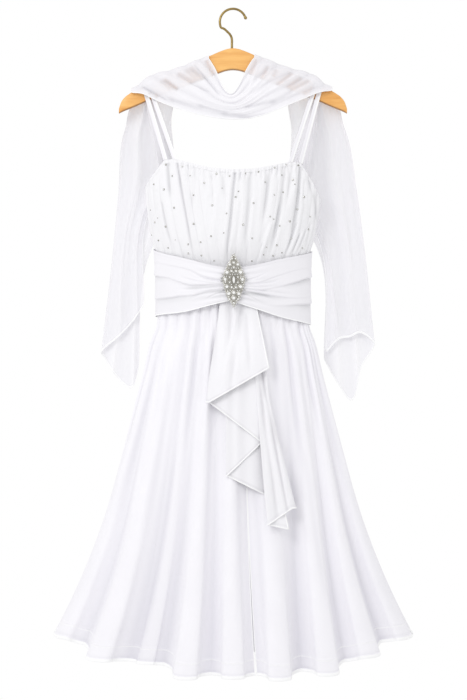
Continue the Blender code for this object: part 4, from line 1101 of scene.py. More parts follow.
FRONT_RIGHT_CREASES = rows_of(Crease,
    (101, 101, 0.5, 0.97, 1.3, -1.3), (108, 107, 0.07, 0.35, 1.4, -1.5), (120, 118, 0.07, 0.3, 1.4, -1.4),
    (108, 107, 0.45, 0.9, 1.6, 1.3), (134, 127, 0.06, 0.5, 1.5, -2.2), (141, 138, 0.07, 0.22, 1.6, -1.6),
    (150, 147, 0.06, 0.4, 2.0, -2.2), (132, 126, 0.4, 0.9, 1.6, -1.3), (158, 156, 0.08, 0.3, 1.8, -1.6),
    (166, 160, 0.15, 0.6, 2.4, -1.6), (156, 148, 0.5, 0.95, 1.8, 1.4), (173, 168, 0.2, 0.7, 2.4, 1.5))
BACK_RIGHT_CREASES = rows_of(Crease,
    (192, 195, 0.07, 0.4, 2.2, -2.0), (203, 206, 0.2, 0.7, 2.4, -1.6), (214, 214, 0.06, 0.3, 1.8, -2.0),
    (224, 226, 0.3, 0.85, 1.8, 1.5), (231, 232, 0.06, 0.35, 1.6, -2.2), (243, 244, 0.07, 0.25, 1.5, -1.8),
    (247, 246, 0.4, 0.9, 1.5, -1.4), (257, 257, 0.06, 0.4, 1.5, -2.2), (264, 265, 0.3, 0.8, 1.4, 1.3))
BACK_LEFT_CREASES = rows_of(Crease,
    (275, 276, 0.06, 0.3, 1.5, -1.8), (285, 285, 0.2, 0.7, 1.6, -1.5), (291, 290, 0.06, 0.4, 1.5, -2.2),
    (302, 301, 0.35, 0.9, 1.6, 1.5), (307, 306, 0.06, 0.28, 1.7, -2.0), (319, 316, 0.15, 0.6, 2.0, -1.7),
    (331, 330, 0.06, 0.35, 1.9, -2.2), (338, 335, 0.3, 0.8, 2.2, 1.5), (347, 345, 0.07, 0.45, 2.4, -1.8))
CREASE_SPREAD = 1.5
CREASE_GAIN = 1.15


def fold_creases(creases, degrees, down):
    """Troughs and ridges that run down the skirt, each over its own stretch."""
    relief = np.zeros(np.broadcast(degrees, down).shape)
    for crease in creases:
        along = (down - crease.top) / (crease.bottom - crease.top)
        line = mix(crease.top_angle, crease.bottom_angle, along)
        shape = trough((degrees - line) / (crease.width * CREASE_SPREAD), 0.35)
        ends = smooth((along + 0.1) / 0.25) * smooth((1.05 - along) / 0.5)
        relief += CREASE_GAIN * crease.depth * shape * ends
    return relief


# %% Skirt columns and points
def skirt_columns(folds):
    """Hem angle, waist angle, sideways lean, fold depth, hem height and gather of every column."""
    share = np.linspace(0, 1, FOLD_STEPS, endpoint=False)
    stretches = []
    for here, there in zip(folds, folds[1:]):
        outwards = there.out > here.out
        crest = (1 - np.cos(math.pi * share)) / 2
        full = (crest if outwards else 1 - crest) ** CREST_FULLNESS
        low, high = (here, there) if outwards else (there, here)
        lean = np.sin(TURN * share) * (there.angle - here.angle)
        stretches.append([
            mix(here.angle, there.angle, share), mix(here.waist, there.waist, share), lean,
            mix(low.out, high.out, full), mix(low.hem, high.hem, full), np.cos(TURN * share)])
    last = folds[-1]
    ends = (last.angle, last.waist, 0.0, last.out, last.hem, 1.0)
    return [np.append(values, end) for values, end in zip(np.concatenate(stretches, axis=1), ends)]


RIM_ROWS = [
    34, 32, 30.8, 30.2, 29.6, 29, 28.4, 27.8, 27, 25, 20, 15, 10.5,
    7.6, 6.9, 6.5, 6, 5.2, 4.2, 3.2, 2.2, 1.2, 0.5, 0]
PLAIN_ROWS = np.linspace(0, 0.948, 107)
SKIRT_ROWS = np.concatenate([PLAIN_ROWS, 1 - np.array(RIM_ROWS) / SKIRT_LENGTH])[:, None]


def waist_pleats(x, down):
    """Short gathers under the waist seam, some deeper than others, which fade out on the hip."""
    ridge = round_ridges(math.pi * x / PLEAT + PLEAT_LEAN * np.sin(x / PLEAT_LEAN_LENGTH))
    fade = smooth((PLEAT_END - down) / PLEAT_FADE)
    return PLEAT_DEPTH * ridge * fade * (1 + PLEAT_SWELL * np.sin(x / PLEAT_SWELL_LENGTH))


def skirt_grid(folds, creases):
    """Points of a skirt panel, and the shade painted into it: in its flutes and creases and just above its
    hem.
    """
    hem_angle, waist_angle, lean, out, hem, gather = skirt_columns(folds)
    down = SKIRT_ROWS
    half_width, front, back, fold, gathers = (
        read(SKIRT_SECTIONS, column, down) for column in ("half_width", "front", "back", "fold", "gather"))
    fold = np.clip(fold, 0, 1)
    angle = mix(waist_angle, hem_angle, down) + FOLD_BACK * lean * fold ** 1.5
    z = mix(WAIST_Z - SEAM / 2, hem, down)
    seam_fade = smooth(np.minimum(angle - folds[0].angle, folds[-1].angle - angle) / 4)
    pleats = waist_pleats(half_width * np.cos(np.radians(angle)), down)
    creased = (0.5 * gather * gathers + pleats + fold_creases(creases, angle, down)) * seam_fade
    below = z - hem
    rim = RIM_RISE * np.sqrt(np.clip(1 - ((below - HEM_RIM) / HEM_RIM) ** 2, 0, 1))
    line = LINE_RISE * bell(below - LINE_HEIGHT, LINE_WIDTH)
    # Painted shade: darker down in the flutes, in the creases and in a thin band above the rolled hem.
    hollow = FLUTE_SHADE * np.clip((SHADE_FROM - out) / SHADE_RANGE, 0, 1) ** 1.8 * fold ** 0.7
    hollow = hollow + np.clip(-creased / CREASE_SHADE_DEPTH, 0, MOST_CREASE_SHADE)
    hollow = hollow + RIM_SHADE * bell(below - RIM_SHADE_HEIGHT, RIM_SHADE_WIDTH)
    return ring_points(angle, half_width, front, back, out * fold + creased + rim + line, z), hollow


def ease_edge(grid, column, move):
    """Moves a side edge, and eases the move out over the columns beside it."""
    away = np.linalg.norm(grid - grid[:, [column]], axis=-1)
    return grid + move[:, None] * (1 - smooth(away / SLIT_EASE))[..., None]


def slit_move(side):
    """How far each row of a slit's edge stands back; side is -1 to the left and 1 to the right."""
    opening = SLIT_HALF_OPENING * smooth((SKIRT_ROWS[:, 0] - SLIT_START) / (1 - SLIT_START))
    return np.outer(side * (SEAM + opening), (1, 0, 0))


# %% Four skirt panels
Panel = namedtuple("Panel", "name folds creases first last slit_column slit_side")
PANELS = [
    Panel("front_left", FRONT_LEFT_FOLDS, FRONT_LEFT_CREASES, (0, -SEAM, 0), (0, 0, 0), -1, -1),
    Panel("front_right", FRONT_RIGHT_FOLDS, FRONT_RIGHT_CREASES, (0, 0, 0), (0, -SEAM, 0), 0, 1),
    Panel("back_right", BACK_RIGHT_FOLDS, BACK_RIGHT_CREASES, (0, SEAM, 0), (SEAM, 0, 0), 0, 0),
    Panel("back_left", BACK_LEFT_FOLDS, BACK_LEFT_CREASES, (-SEAM, 0, 0), (0, SEAM, 0), 0, 0)]
panels, panel_grids = {}, {}
for panel in PANELS:
    grid, hollow = skirt_grid(panel.folds, panel.creases)
    if panel.slit_side:
        grid = ease_edge(grid, panel.slit_column, slit_move(panel.slit_side))
    grid = lift_ends(grid, panel.first, panel.last)
    shell = cloth_shell(f"skirt_{panel.name}_cloth", grid, chiffon, hollow)
    panels[panel.name] = hand_over(shell, "white_chiffon", f"skirt_{panel.name}")
    panel_grids[panel.name] = grid

# %% [markdown]
# ## Rolled edges of the slit
# The two front panels part below the hip, and each edge is rolled over itself and sewn down as a thin round
# bead. Turning the panel's own columns over would take many more points; a tube swept along the edge of
# the panel gives the same bead and stays exactly on it.

# %% Rolled edges of the slit
EDGE_RADIUS = 1.0
slit_rows = SKIRT_ROWS[:, 0] > SLIT_START
slit_left = rolled_edge("slit_edge_left", panel_grids["front_left"][slit_rows, -1], EDGE_RADIUS)
slit_right = rolled_edge("slit_edge_right", panel_grids["front_right"][slit_rows, 0], EDGE_RADIUS)
print("slit: open over the lower", round((1 - SLIT_START) * SKIRT_LENGTH), "mm")

# %% [markdown]
# ## Cascade ruffle
# From under the brooch a length of chiffon falls back and forth in six layers, each shorter edge further
# out, with a narrow rolled hem that shines along the zigzag. It is one sheet, so it is one grid: its
# columns run through the layers in turn and go round each fold on a small half circle. Six separate
# sheets would be quicker, but their edges would show where the real one turns.

# %% Cascade sizes
Layer = namedtuple("Layer", "start_x start_z end_x end_z start_top end_top band steps")
CASCADE_LAYERS = rows_of(Layer,
    (66, -679, -44, -742, 38, -21, 17.5, 5), (-44, -742, 53.5, -816, -21, 30, 7, 4),
    (53.5, -816, -11, -877, 30, -12, 3.5, 3), (-11, -877, 109, -936, -12, 36, 0, 4),
    (109, -936, 64.6, -965, 36, 28, 14, 4), (64.6, -965, 101.5, -974, 28, 34, 10.5, 2))
CASCADE_TOP_Z = -538
TOP_SQUEEZE = 0.25
SPREAD_START, SPREAD_END = 0.2, 0.85
HEM_BEAD = 1.35
EDGE_BOW = 9.0
FOLD_CREST = 21
CASCADE_ROOM = 1.2
LAYER_STEPS = 8
WALL = 1.2  # thickness of a cloth solid in the frame
UPPER_LAYER_CREASES = [
    Gather(13, -576, -6, -724, 0, 4.5, 1.5), Gather(26, -582, 31, -696, 0, 4.5, 1.4),
    Gather(5, -580, -16, -700, 0, 3.0, -1.0)]
LONG_LAYER_CREASES = [
    Gather(54, -690, 106, -975, 0, 2.6, 2.4), Gather(48, -690, 84, -975, 0, 3.0, 1.2)]
TOP_BAND, LONG_BAND = 17.5, 14
BOW_START, BOW_RUN, BOW_BELOW = 60, 45, -890
SOFT_DEPTH, SOFT_LENGTH, SOFT_LEAN, SOFT_LEAN_LENGTH = 2.0, 4.6, 0.9, 11
RIPPLE_DEPTH, STREAK_DEPTH = 0.6, 0.6
CASCADE_FULL_SHADE_DEPTH = 3.2
UNDER_SHADE, UNDER_RANGE = 0.2, 12
BEAD_SHADE, BEAD_SHADE_HEIGHT, BEAD_SHADE_WIDTH = 0.4, 3.5, 2.2


def front_of_skirt(x, z):
    """Distance from the middle plane to the crests of the skirt's front folds."""
    crest_by_slit = FRONT_LEFT_FOLDS[-2]
    down = (WAIST_Z - z) / (WAIST_Z - crest_by_slit.hem)
    around = (1 - (x / read(SKIRT_SECTIONS, "half_width", down)) ** 2) ** (SIDE_SHARPNESS / 2)
    return (read(SKIRT_SECTIONS, "front", down) * around + read(SKIRT_SECTIONS, "gather", down)
            + FOLD_CREST * read(SKIRT_SECTIONS, "fold", down) + WALL / 2)


def cascade_columns():
    """Hem x, hem z, top x, band and turn of each column."""
    columns = []
    for here, after in zip(CASCADE_LAYERS, CASCADE_LAYERS[1:] + [None]):
        for share in np.linspace(0, 1, here.steps * LAYER_STEPS + 1):
            hem_x, hem_z = mix(here.start_x, here.end_x, share), mix(here.start_z, here.end_z, share)
            columns.append((hem_x, hem_z, mix(here.start_top, here.end_top, share), here.band, 0.0))
        if after:
            way = math.copysign(abs(after.band - here.band) / 2, here.end_x - here.start_x)
            for turn in np.radians(np.linspace(0, 180, 9)[1:-1]):
                band = mix(here.band, after.band, 0.5 - 0.5 * math.cos(turn))
                columns.append((here.end_x, here.end_z, here.end_top, band, way * math.sin(turn)))
    return np.array(columns).T


# %% [markdown]
# ## Creases of the cascade
# The upper layer is crumpled where it leaves the knot, and the longest one has two sharp creases down its
# length and fine streaks above its hem. A bump map could show them, but the outline of each hem would stay
# straight. Here they move the points, and the same numbers paint shade into their hollows. Shade is also
# painted on the layers under the top one and in a thin band above the rolled hem.

# %% Cascade
CASCADE_ROWS = np.linspace(0, 1, 90)[:, None]
hem_x, hem_z, top_x, band, turn = cascade_columns()
top_layer, long_layer = band > TOP_BAND - 0.5, np.abs(band - LONG_BAND) < 1

spread = mix(TOP_SQUEEZE, 1, smooth((CASCADE_ROWS - SPREAD_START) / (SPREAD_END - SPREAD_START)))
bow = smooth((hem_x - BOW_START) / BOW_RUN) * np.where(hem_z < BOW_BELOW, 1, 0)
bow = EDGE_BOW * bow * np.sin(math.pi * CASCADE_ROWS) * smooth((CASCADE_ROWS - 0.25) / 0.3)
cascade_x = mix(top_x, hem_x, CASCADE_ROWS) - bow
cascade_z = mix(CASCADE_TOP_Z, hem_z, CASCADE_ROWS)

soft_turns = cascade_x / SOFT_LENGTH + SOFT_LEAN * np.sin(cascade_x / SOFT_LEAN_LENGTH)
soft = SOFT_DEPTH * np.sin(soft_turns) * smooth((CASCADE_ROWS - 0.05) / 0.1)
soft = soft * (1 - 0.8 * smooth((CASCADE_ROWS - 0.3) / 0.5))
ripple = RIPPLE_DEPTH * np.sin(hem_x / 9 + hem_z / 14) * smooth((CASCADE_ROWS - 0.3) / 0.5)
streaks = STREAK_DEPTH * np.sin(hem_x / 4.2 + 2.0 * np.sin(hem_x / 17)) * long_layer
streaks = streaks * smooth((CASCADE_ROWS - 0.4) / 0.2)
creased = crease_relief(UPPER_LAYER_CREASES, cascade_x, cascade_z) * top_layer
creased = creased + crease_relief(LONG_LAYER_CREASES, cascade_x, cascade_z) * long_layer

cascade_depth = front_of_skirt(cascade_x, cascade_z) + CASCADE_ROOM + (band + ripple + streaks) * spread
cascade_depth = cascade_depth + soft + creased
cascade_grid = np.stack([cascade_x + turn * spread, -cascade_depth, cascade_z], axis=-1)
from_hem = lengths(cascade_grid, 0)
from_hem = from_hem[-1:] - from_hem
# Painted shade: darker on the layers under the top one, in a thin band above the rolled hem, and in the
# creases and streaks.
under = UNDER_SHADE * (np.clip(TOP_BAND - band, 0, UNDER_RANGE) / UNDER_RANGE)
under = under * smooth((CASCADE_ROWS - 0.2) / 0.4)
under = under + BEAD_SHADE * bell(from_hem - BEAD_SHADE_HEIGHT, BEAD_SHADE_WIDTH) - creased / 3
cascade_painted_shade = under - soft / CASCADE_FULL_SHADE_DEPTH + np.clip(-streaks, 0, 2) * 0.3
shell = cloth_shell("cascade_cloth", cascade_grid, ruffle, cascade_painted_shade)
cascade = hand_over(shell, "white_chiffon", "cascade")
zigzag = np.concatenate([cascade_grid[8:, 0], cascade_grid[-1, 1:], cascade_grid[-2:40:-1, -1]])
cascade_edge = rolled_edge("cascade_edge", zigzag, HEM_BEAD)

# %% [markdown]
# ## Drape
# A matching length of sheer chiffon lies over the arms of the hanger. Its middle hangs in front as a
# cowl with five soft folds, and its ends fall behind the gown. The cowl is a sheet between two lines, its
# neck edge and its lower edge, which rolls over each arm. Draping it by simulation would move those lines
# off the photograph's, so the sheet is sized by a table, relaxed a little and then folded along its normal.
# The thin creases are strokes placed one by one. Shade is painted into the colour along the folds and the
# strokes. Some strokes are windows as well: only one layer of the cloth lies there, so the wood shows through
# more.

# %% Cowl sizes
Swag = namedtuple("Swag", "across neck_x neck_z neck_y hem_x hem_z hem_y")
COWL = rows_of(Swag,
    (0.0, -46, -97, -11, -194, -158, -11), (0.1, -41, -103, -12.5, -171, -161, -16),
    (0.2, -34, -114, -13, -148, -173, -19), (0.3, -26.5, -131, -14, -110, -189, -23),
    (0.4, -18, -152, -16, -62, -203, -27), (0.5, -4, -164, -17, -4, -213, -29),
    (0.6, 8, -152, -16, 50, -206, -27), (0.7, 18, -132, -14, 96, -187, -23),
    (0.8, 26, -115, -13, 132, -172, -19), (0.9, 34, -102, -12.5, 165, -158, -16),
    (1.0, 41, -96, -11, 188, -154, -11))
Lift = namedtuple("Lift", "down height")
COWL_LIFT = rows_of(Lift,
    (0, 2.2), (0.1, 4.1), (0.3, 5.5), (0.5, 9), (0.68, 15), (0.8, 15), (0.9, 9), (1, 8))
COWL_FOLDS = 5
COWL_FOLD_DEPTH = 2.1
COWL_CROWDING = 0.66
COWL_CALM = 0.6
Mark = namedtuple("Mark", "x z to_x to_z width depth window")
COWL_MARKS = rows_of(Mark,
    (-72, -108, -27, -163, 1.7, -1.6, 0), (-63, -103, -23, -160, 3, 1.6, 0),
    (-51, -97, -34, -131, 4.2, -0.5, 0.42), (-80, -112, -57, -137, 5.3, -0.4, 0.32),
    (-89, -116, -65, -141, 4.9, -0.2, 0.26), (-104, -124, -74, -142, 5.1, -0.5, 0.32),
    (-114, -124, -63, -154, 2.3, 1, 0), (-82, -142, -46, -158, 1.7, -1.2, 0),
    (-129, -135, -104, -154, 3.6, -1.2, 0.46), (-137, -137, -118, -154, 4.6, 0, 0.2),
    (-142, -142, -104, -165, 2.3, 1.2, 0), (-171, -148, -127, -173, 1.7, -1.8, 0),
    (-158, -158, -142, -169, 4.2, -0.4, 0.38), (-120, -173, -59, -188, 4.9, -1, 0),
    (-63, -186, -13, -201, 3.8, -1.6, 0), (-17, -200, 36, -209, 4.2, -1.5, 0),
    (44, -97, 32, -127, 4.2, -0.5, 0.36), (49, -103, 32, -150, 2.8, 1.5, 0),
    (66, -110, 53, -135, 3.8, -0.8, 0.3), (72, -114, 42, -150, 1.9, 1.3, 0),
    (82, -116, 76, -129, 4.9, -0.3, 0.26), (112, -122, 82, -146, 3.9, -1.0, 0.36),
    (122, -125, 74, -156, 1.9, 1.4, 0), (129, -131, 103, -150, 4.6, -0.6, 0.32),
    (144, -137, 108, -156, 4.6, -0.7, 0.36), (150, -141, 104, -167, 2.8, 1.2, 0),
    (154, -150, 133, -162, 4.6, -0.3, 0.28), (112, -158, 74, -179, 4.9, -1.2, 0),
    (78, -177, 25, -188, 3.8, -1.5, 0), (95, -192, 55, -205, 2.8, -1.1, 0),
    (57, -203, 13, -209, 3.4, -1.2, 0), (-21, -169, 55, -167, 5.7, 1.2, 0))
RIDGE_CALM = 0.4
NECK_BEAD, END_BEAD = 0.8, 0.45
COWL_DRIFT, COWL_THIN = 0.015, 0.7
COWL_SHADE, COWL_FULL_SHADE_DEPTH = 0.27, 7
COWL_LAYERS, WINDOW_GAIN = 0.94, 1.1
MARK_SHADE, DEEP_MARK_SHADE = 0.2, 0.4
COWL_REACH = 11.0
COWL_ROLL = 10.0
COWL_ROLL_SPAN = 0.12
COWL_BACK_ANGLE = -75
NORMAL_STEP = 0.004


# %% Cowl points
def cowl_ridge(down, side):
    """Where the drape lies on top of an arm; down runs from the neck to the arm's end."""
    row = COWL[0] if side < 0 else COWL[-1]
    x = mix(row.neck_x, row.hem_x, down)
    return x, arm_top(x) + read(COWL_LIFT, "height", down)


def rolled_over(across, down, side):
    """The cowl's end where it turns over an arm and goes down behind it."""
    roll = np.radians(90 + (across if side < 0 else 1 - across) * 180)
    x, ridge = cowl_ridge(down, side)
    x, roll = np.broadcast_arrays(x, roll)
    return np.stack([x, -COWL_REACH * np.sin(roll), ridge - COWL_ROLL * (1 - np.cos(roll))], axis=-1)


def cowl_base(across, down):
    """The cowl without its folds. Below 0 and above 1 it runs over the arms to the back."""
    across, down = np.broadcast_arrays(across, down)
    sides = [(read(COWL, "neck_" + axis, across), read(COWL, "hem_" + axis, across)) for axis in "xyz"]
    front = np.stack([mix(neck, hem, down) for neck, hem in sides], axis=-1)
    ridge = np.where(across < 0.5, cowl_ridge(down, -1)[1], cowl_ridge(down, 1)[1]) - COWL_ROLL
    front[..., 2] = mix(ridge, front[..., 2], smooth(np.minimum(across, 1 - across) / COWL_ROLL_SPAN))
    wrapped = np.where((across < 0)[..., None], rolled_over(across, down, -1), front)
    return np.where((across > 1)[..., None], rolled_over(across, down, 1), wrapped)


def sheet_normals(grid):
    """Unit normals of a grid of points."""
    normal = np.cross(np.gradient(grid, axis=0), np.gradient(grid, axis=1))
    return normal / np.linalg.norm(normal, axis=-1, keepdims=True)


def relax(grid, times):
    """Softens a grid along its first axis and keeps its two ends."""
    for _ in range(times):
        grid[1:-1] = (grid[:-2] + 2 * grid[1:-1] + grid[2:]) / 4
    return grid


def roll_place(degrees, side):
    """Where an angle round an arm lies on the cowl: 90 is its front edge, below that it goes over."""
    share = (90 - degrees) / 180
    return -share if side < 0 else 1 + share


# %% Cowl
def fold_place(across, down):
    """Folds lie evenly over an arm and crowd towards the neck in the middle."""
    middle = smooth(np.minimum(across, 1 - across) / 0.38)
    return down ** mix(1, COWL_CROWDING, middle)


def mark_shape(mark, grid):
    """How much each point belongs to a mark: a straight stroke seen from the front."""
    start = np.array((mark.x, mark.z))
    run = np.array((mark.to_x, mark.to_z)) - start
    away = grid[..., [0, 2]] - start
    along = away @ run / (run @ run)
    beside = (away @ np.array((-run[1], run[0]))) / np.linalg.norm(run) / mark.width
    return np.exp(-beside ** 2) * smooth((along + 0.15) / 0.25) * smooth((1.15 - along) / 0.25)


def cowl_folds(across, down):
    """Depth of the folds: broad ones with narrow hollows, and a few thin creases between them."""
    drift = fold_place(across, down) + COWL_DRIFT * np.sin(7 * across + 1) * np.sin(math.pi * down)
    broad = round_ridges(math.pi * COWL_FOLDS * drift, 0.75)
    inner = smooth((across + 0.05) / 0.12) * smooth((1.05 - across) / 0.12)
    thin = COWL_THIN * np.sin(TURN * (11 * down + 1.6 * across)) * (0.5 + 0.5 * np.sin(9 * across + 5 * down))
    thin = thin * np.sin(math.pi * down) * inner
    return -COWL_FOLD_DEPTH * broad * mix(RIDGE_CALM, COWL_CALM, inner) - thin


back_turns = np.linspace(COWL_BACK_ANGLE, 90, 34, endpoint=False)
cowl_across = np.concatenate([[roll_place(a, -1) for a in back_turns], np.linspace(0, 1, 121),
                              [roll_place(a, 1) for a in back_turns[::-1]]])[:, None]
cowl_down = np.linspace(0, 1, 91)[None, :]
cowl_grid = relax(cowl_base(cowl_across, cowl_down), 30)
cowl_relief = cowl_folds(cowl_across, cowl_down)
in_front = smooth((cowl_across + 0.03) / 0.05) * smooth((1.03 - cowl_across) / 0.05)
# Painted shade: a tint over the whole cowl, stronger in the folds' hollows and along the crease strokes.
cowl_painted_shade = COWL_SHADE + cowl_relief / COWL_FULL_SHADE_DEPTH
cowl_layers = COWL_LAYERS
for mark in COWL_MARKS:
    shape = mark_shape(mark, cowl_grid) * in_front
    cowl_relief = cowl_relief - mark.depth * shape
    shade = MARK_SHADE if mark.window or mark.depth > 0 else DEEP_MARK_SHADE
    cowl_painted_shade = cowl_painted_shade - mark.depth * shape * shade
    cowl_layers = cowl_layers - mark.window * WINDOW_GAIN * shape
cowl_grid += sheet_normals(cowl_grid) * cowl_relief[..., None]
shell = cloth_shell("drape_cowl_chiffon", cowl_grid, sheer, cowl_painted_shade, 0, cowl_layers)
drape_cowl = hand_over(shell, "white_chiffon", "drape_cowl")
cowl_neck_edge = rolled_edge("drape_neck_edge", cowl_grid[:, 0], NECK_BEAD)
cowl_lower_edge = rolled_edge("drape_lower_edge", cowl_grid[:, -1], NECK_BEAD)

# %% [markdown]
# ## Ends of the drape
# Each end hangs free behind the gown, and one long side is turned under, so the tip lies in two layers. An
# end is a grid, and a table says where each column lies at four heights. It starts on the cowl's own edge
# behind the arm. Below the front layer's hem the layer behind shows darker, in the shadow of the front one.

# %% Drape end sizes
End = namedtuple("End", "across shoulder chest side hem_x hem_z layer")
END_LEFT = rows_of(End,
    (0, -116, -117, -163, -172, -560, 0), (0.17, -150, -155, -185, -192, -590, 0),
    (0.33, -185, -192, -210, -222, -622, 0), (0.45, -205, -217, -228, -249, -644, 1.5),
    (0.5, -209, -221, -231, -254, -651, 5), (0.55, -206, -218, -228, -250, -658, 8.5),
    (0.7, -180, -190, -208, -230, -691, 10), (0.88, -148, -158, -184, -194, -718, 10),
    (1, -122, -128, -168, -182, -680, 10))
END_RIGHT = rows_of(End,
    (0, 110, 113, 166, 180, -650, 0), (0.17, 150, 160, 190, 207, -624, 0),
    (0.25, 168, 182, 207, 225, -621, 0), (0.33, 187, 204, 224, 243, -613, 0),
    (0.45, 211, 234, 248, 268, -628, 1.5), (0.5, 215, 238, 252, 273, -635, 5),
    (0.55, 212, 235, 249, 269, -646, 8.5), (0.64, 192, 215, 234, 249, -677, 10),
    (0.78, 168, 190, 214, 230, -743, 10), (0.9, 140, 160, 190, 203, -712, 10),
    (1, 120, 128, 170, 176, -664, 10))
END_LEVELS = [0, 0.06, 0.2, 0.42, 0.62, 1]
END_WIDENING = 0.6
END_START_ANGLE = -78
END_FOLDS = 5
END_FOLD_DEPTH, END_THIN, END_FULL_SHADE_DEPTH = 1.9, 0.3, 9
Line = namedtuple("Line", "top_across low_across top low width depth")
LINES_LEFT = rows_of(Line,
    (0.42, 0.4, 0.03, 0.5, 0.03, -1.2), (0.15, 0.13, 0.04, 0.35, 0.03, 1.8),
    (0.28, 0.25, 0.1, 0.8, 0.02, 1.0), (0.3, 0.24, 0.5, 1.0, 0.035, -1.2),
    (0.08, 0.1, 0.3, 0.85, 0.02, 1.2))
LINES_RIGHT = rows_of(Line,
    (0.04, 0.16, 0.58, 0.98, 0.014, 2.6), (0.24, 0.2, 0.3, 1.1, 0.035, -2.0),
    (0.36, 0.27, 0.25, 0.9, 0.02, 1.8), (0.2, 0.17, 0.05, 0.4, 0.03, 1.4),
    (0.44, 0.42, 0.05, 0.7, 0.02, -1.2))
BACK_SHADE, UNDER_HEM_SHADE, UNDER_HEM_REACH = 0.25, 0.45, 11.0
END_BACK_DEPTH = 37.0
END_BACK_Z = -300


# %% Drape ends
def end_top(side, down):
    """Upper edge of an end, on the cowl's edge behind the arm."""
    place = roll_place(END_START_ANGLE, side)
    around = np.array([place - NORMAL_STEP, place, place + NORMAL_STEP])[:, None]
    patch = cowl_base(around, down)
    folds = np.cos(TURN * COWL_FOLDS * down)[..., None][0]
    return patch[1] + sheet_normals(patch)[1] * -RIDGE_CALM * COWL_FOLD_DEPTH * folds


def drape_end_grid(table, side, lines):
    """Points of an end, and how dark each is."""
    across = np.linspace(0, 1, 141)
    down = np.linspace(0, 1, 150)
    top = end_top(side, across[None, :])
    Stop = namedtuple("Stop", "level x")
    columns = []
    for k, at in enumerate(across):
        stops = [float(read(table, column, at)) for column in ("shoulder", "chest", "side", "hem_x")]
        stops = [top[k, 0], mix(top[k, 0], stops[0], END_WIDENING)] + stops
        columns.append(read([Stop(*pair) for pair in zip(END_LEVELS, stops)], "x", down))
    x = np.array(columns).T
    z = mix(top[:, 2], read(table, "hem_z", across), down[:, None])
    back = mix(top[:, 1], END_BACK_DEPTH, smooth((top[:, 2] - z) / (top[:, 2] - END_BACK_Z)))
    drift = across + 0.012 * np.sin(5 * down[:, None] + 3 * across)
    wave = END_FOLD_DEPTH * round_ridges(math.pi * END_FOLDS * drift, 0.8)
    wave = wave + END_THIN * np.sin(TURN * (9 * across + 0.5 * down[:, None]))
    for line in lines:
        along = (down[:, None] - line.top) / (line.low - line.top)
        beside = (across - mix(line.top_across, line.low_across, along)) / line.width
        ends = smooth((along + 0.1) / 0.2) * smooth((1.1 - along) / 0.3)
        wave = wave - line.depth * np.exp(-beside ** 2) * ends
    y = back + (read(table, "layer", across) + wave) * smooth(down[:, None] / 0.14)
    in_front = [row for row in table if row.across <= 0.5]
    in_front.sort(key=lambda row: row.hem_x)
    front_hem = np.interp(x, [row.hem_x for row in in_front], [row.hem_z for row in in_front])
    # Painted shadow of the front layer on the layer behind, strongest just below the front hem.
    behind = smooth((across - 0.52) / 0.06)
    below = np.clip(front_hem - z, 0, None)
    shade = behind * (BACK_SHADE + UNDER_HEM_SHADE * np.exp(-below / UNDER_HEM_REACH))
    return np.stack([x, y, z], axis=-1), wave / END_FULL_SHADE_DEPTH + shade * np.where(below > 0, 1, 0)
# Points of an end, and the shade painted on it: in its folds and below the front layer's hem.


drape_ends = []
for side, name, table, lines in ((-1, "drape_left", END_LEFT, LINES_LEFT),
                                 (1, "drape_right", END_RIGHT, LINES_RIGHT)):
    grid, hollow = drape_end_grid(table, side, lines)
    shell = cloth_shell(name + "_chiffon", grid, airy, hollow, 0, hollow)
    piece = hand_over(shell, "white_chiffon", name)
    outline = np.concatenate([grid[12:, 0], grid[-1, 1:], grid[-2:12:-1, -1]])
    drape_ends.append((piece, rolled_edge(name + "_edge", outline, END_BEAD)))

# %% [markdown]
# ## Stones and brooch
# Small glass stones are pressed on the bodice, each in its own place with no two close together, and a
# pointed oval brooch of larger ones in silver claws pins the sash. Clear glass with a mirror back looks
# like a patchwork: each facet shows another part of the room, white, grey or nearly black. Tracing that
# would need a detailed room, so each facet gets its own tone, kept on the mesh as an attribute. The silver
# of plate and claws reads the same attribute, polished on top and oxidised low down, and is rubbed in spots.

# %% Foiled glass
DARK_GLASS, GREY_GLASS, CLEAR_GLASS = (0.1, 0.095, 0.08), (0.55, 0.54, 0.5), (1.0, 1.0, 0.99)

glass, tree, shader = new_material("foiled_glass_stones")
glint = put(tree, "ValToRGB", {"Fac": attribute(tree, "tone")})
glint.color_ramp.elements.new(0.5)
for stop, color in zip(glint.color_ramp.elements, (DARK_GLASS, GREY_GLASS, CLEAR_GLASS)):
    stop.color = (*color, 1)
tree.links.new(glint.outputs["Color"], shader.inputs["Base Color"])
shader.inputs["Metallic"].default_value = 0.8
shader.inputs["Roughness"].default_value = 0.1
print("glass:", len(glint.color_ramp.elements), "tones")

# %% Claw silver
TARNISHED, BRIGHT_SILVER = (0.12, 0.11, 0.085), (0.95, 0.93, 0.87)
TARNISH_SHARE = 0.2

silver, tree, shader = new_material("claw_silver")
place = put(tree, "TexCoord").outputs["Object"]
dull = wear(tree, place, 420.0, Contrast=3.0)
rubbed = calc(tree, "SUBTRACT", attribute(tree, "tone"), calc(tree, "MULTIPLY", dull, TARNISH_SHARE))
tree.links.new(color_mix(tree, rubbed, TARNISHED, BRIGHT_SILVER), shader.inputs["Base Color"])
tree.links.new(rescale(tree, dull, To_Min=0.2, To_Max=0.4), shader.inputs["Roughness"])
shader.inputs["Metallic"].default_value = 1.0
print("materials:", len(bpy.data.materials))

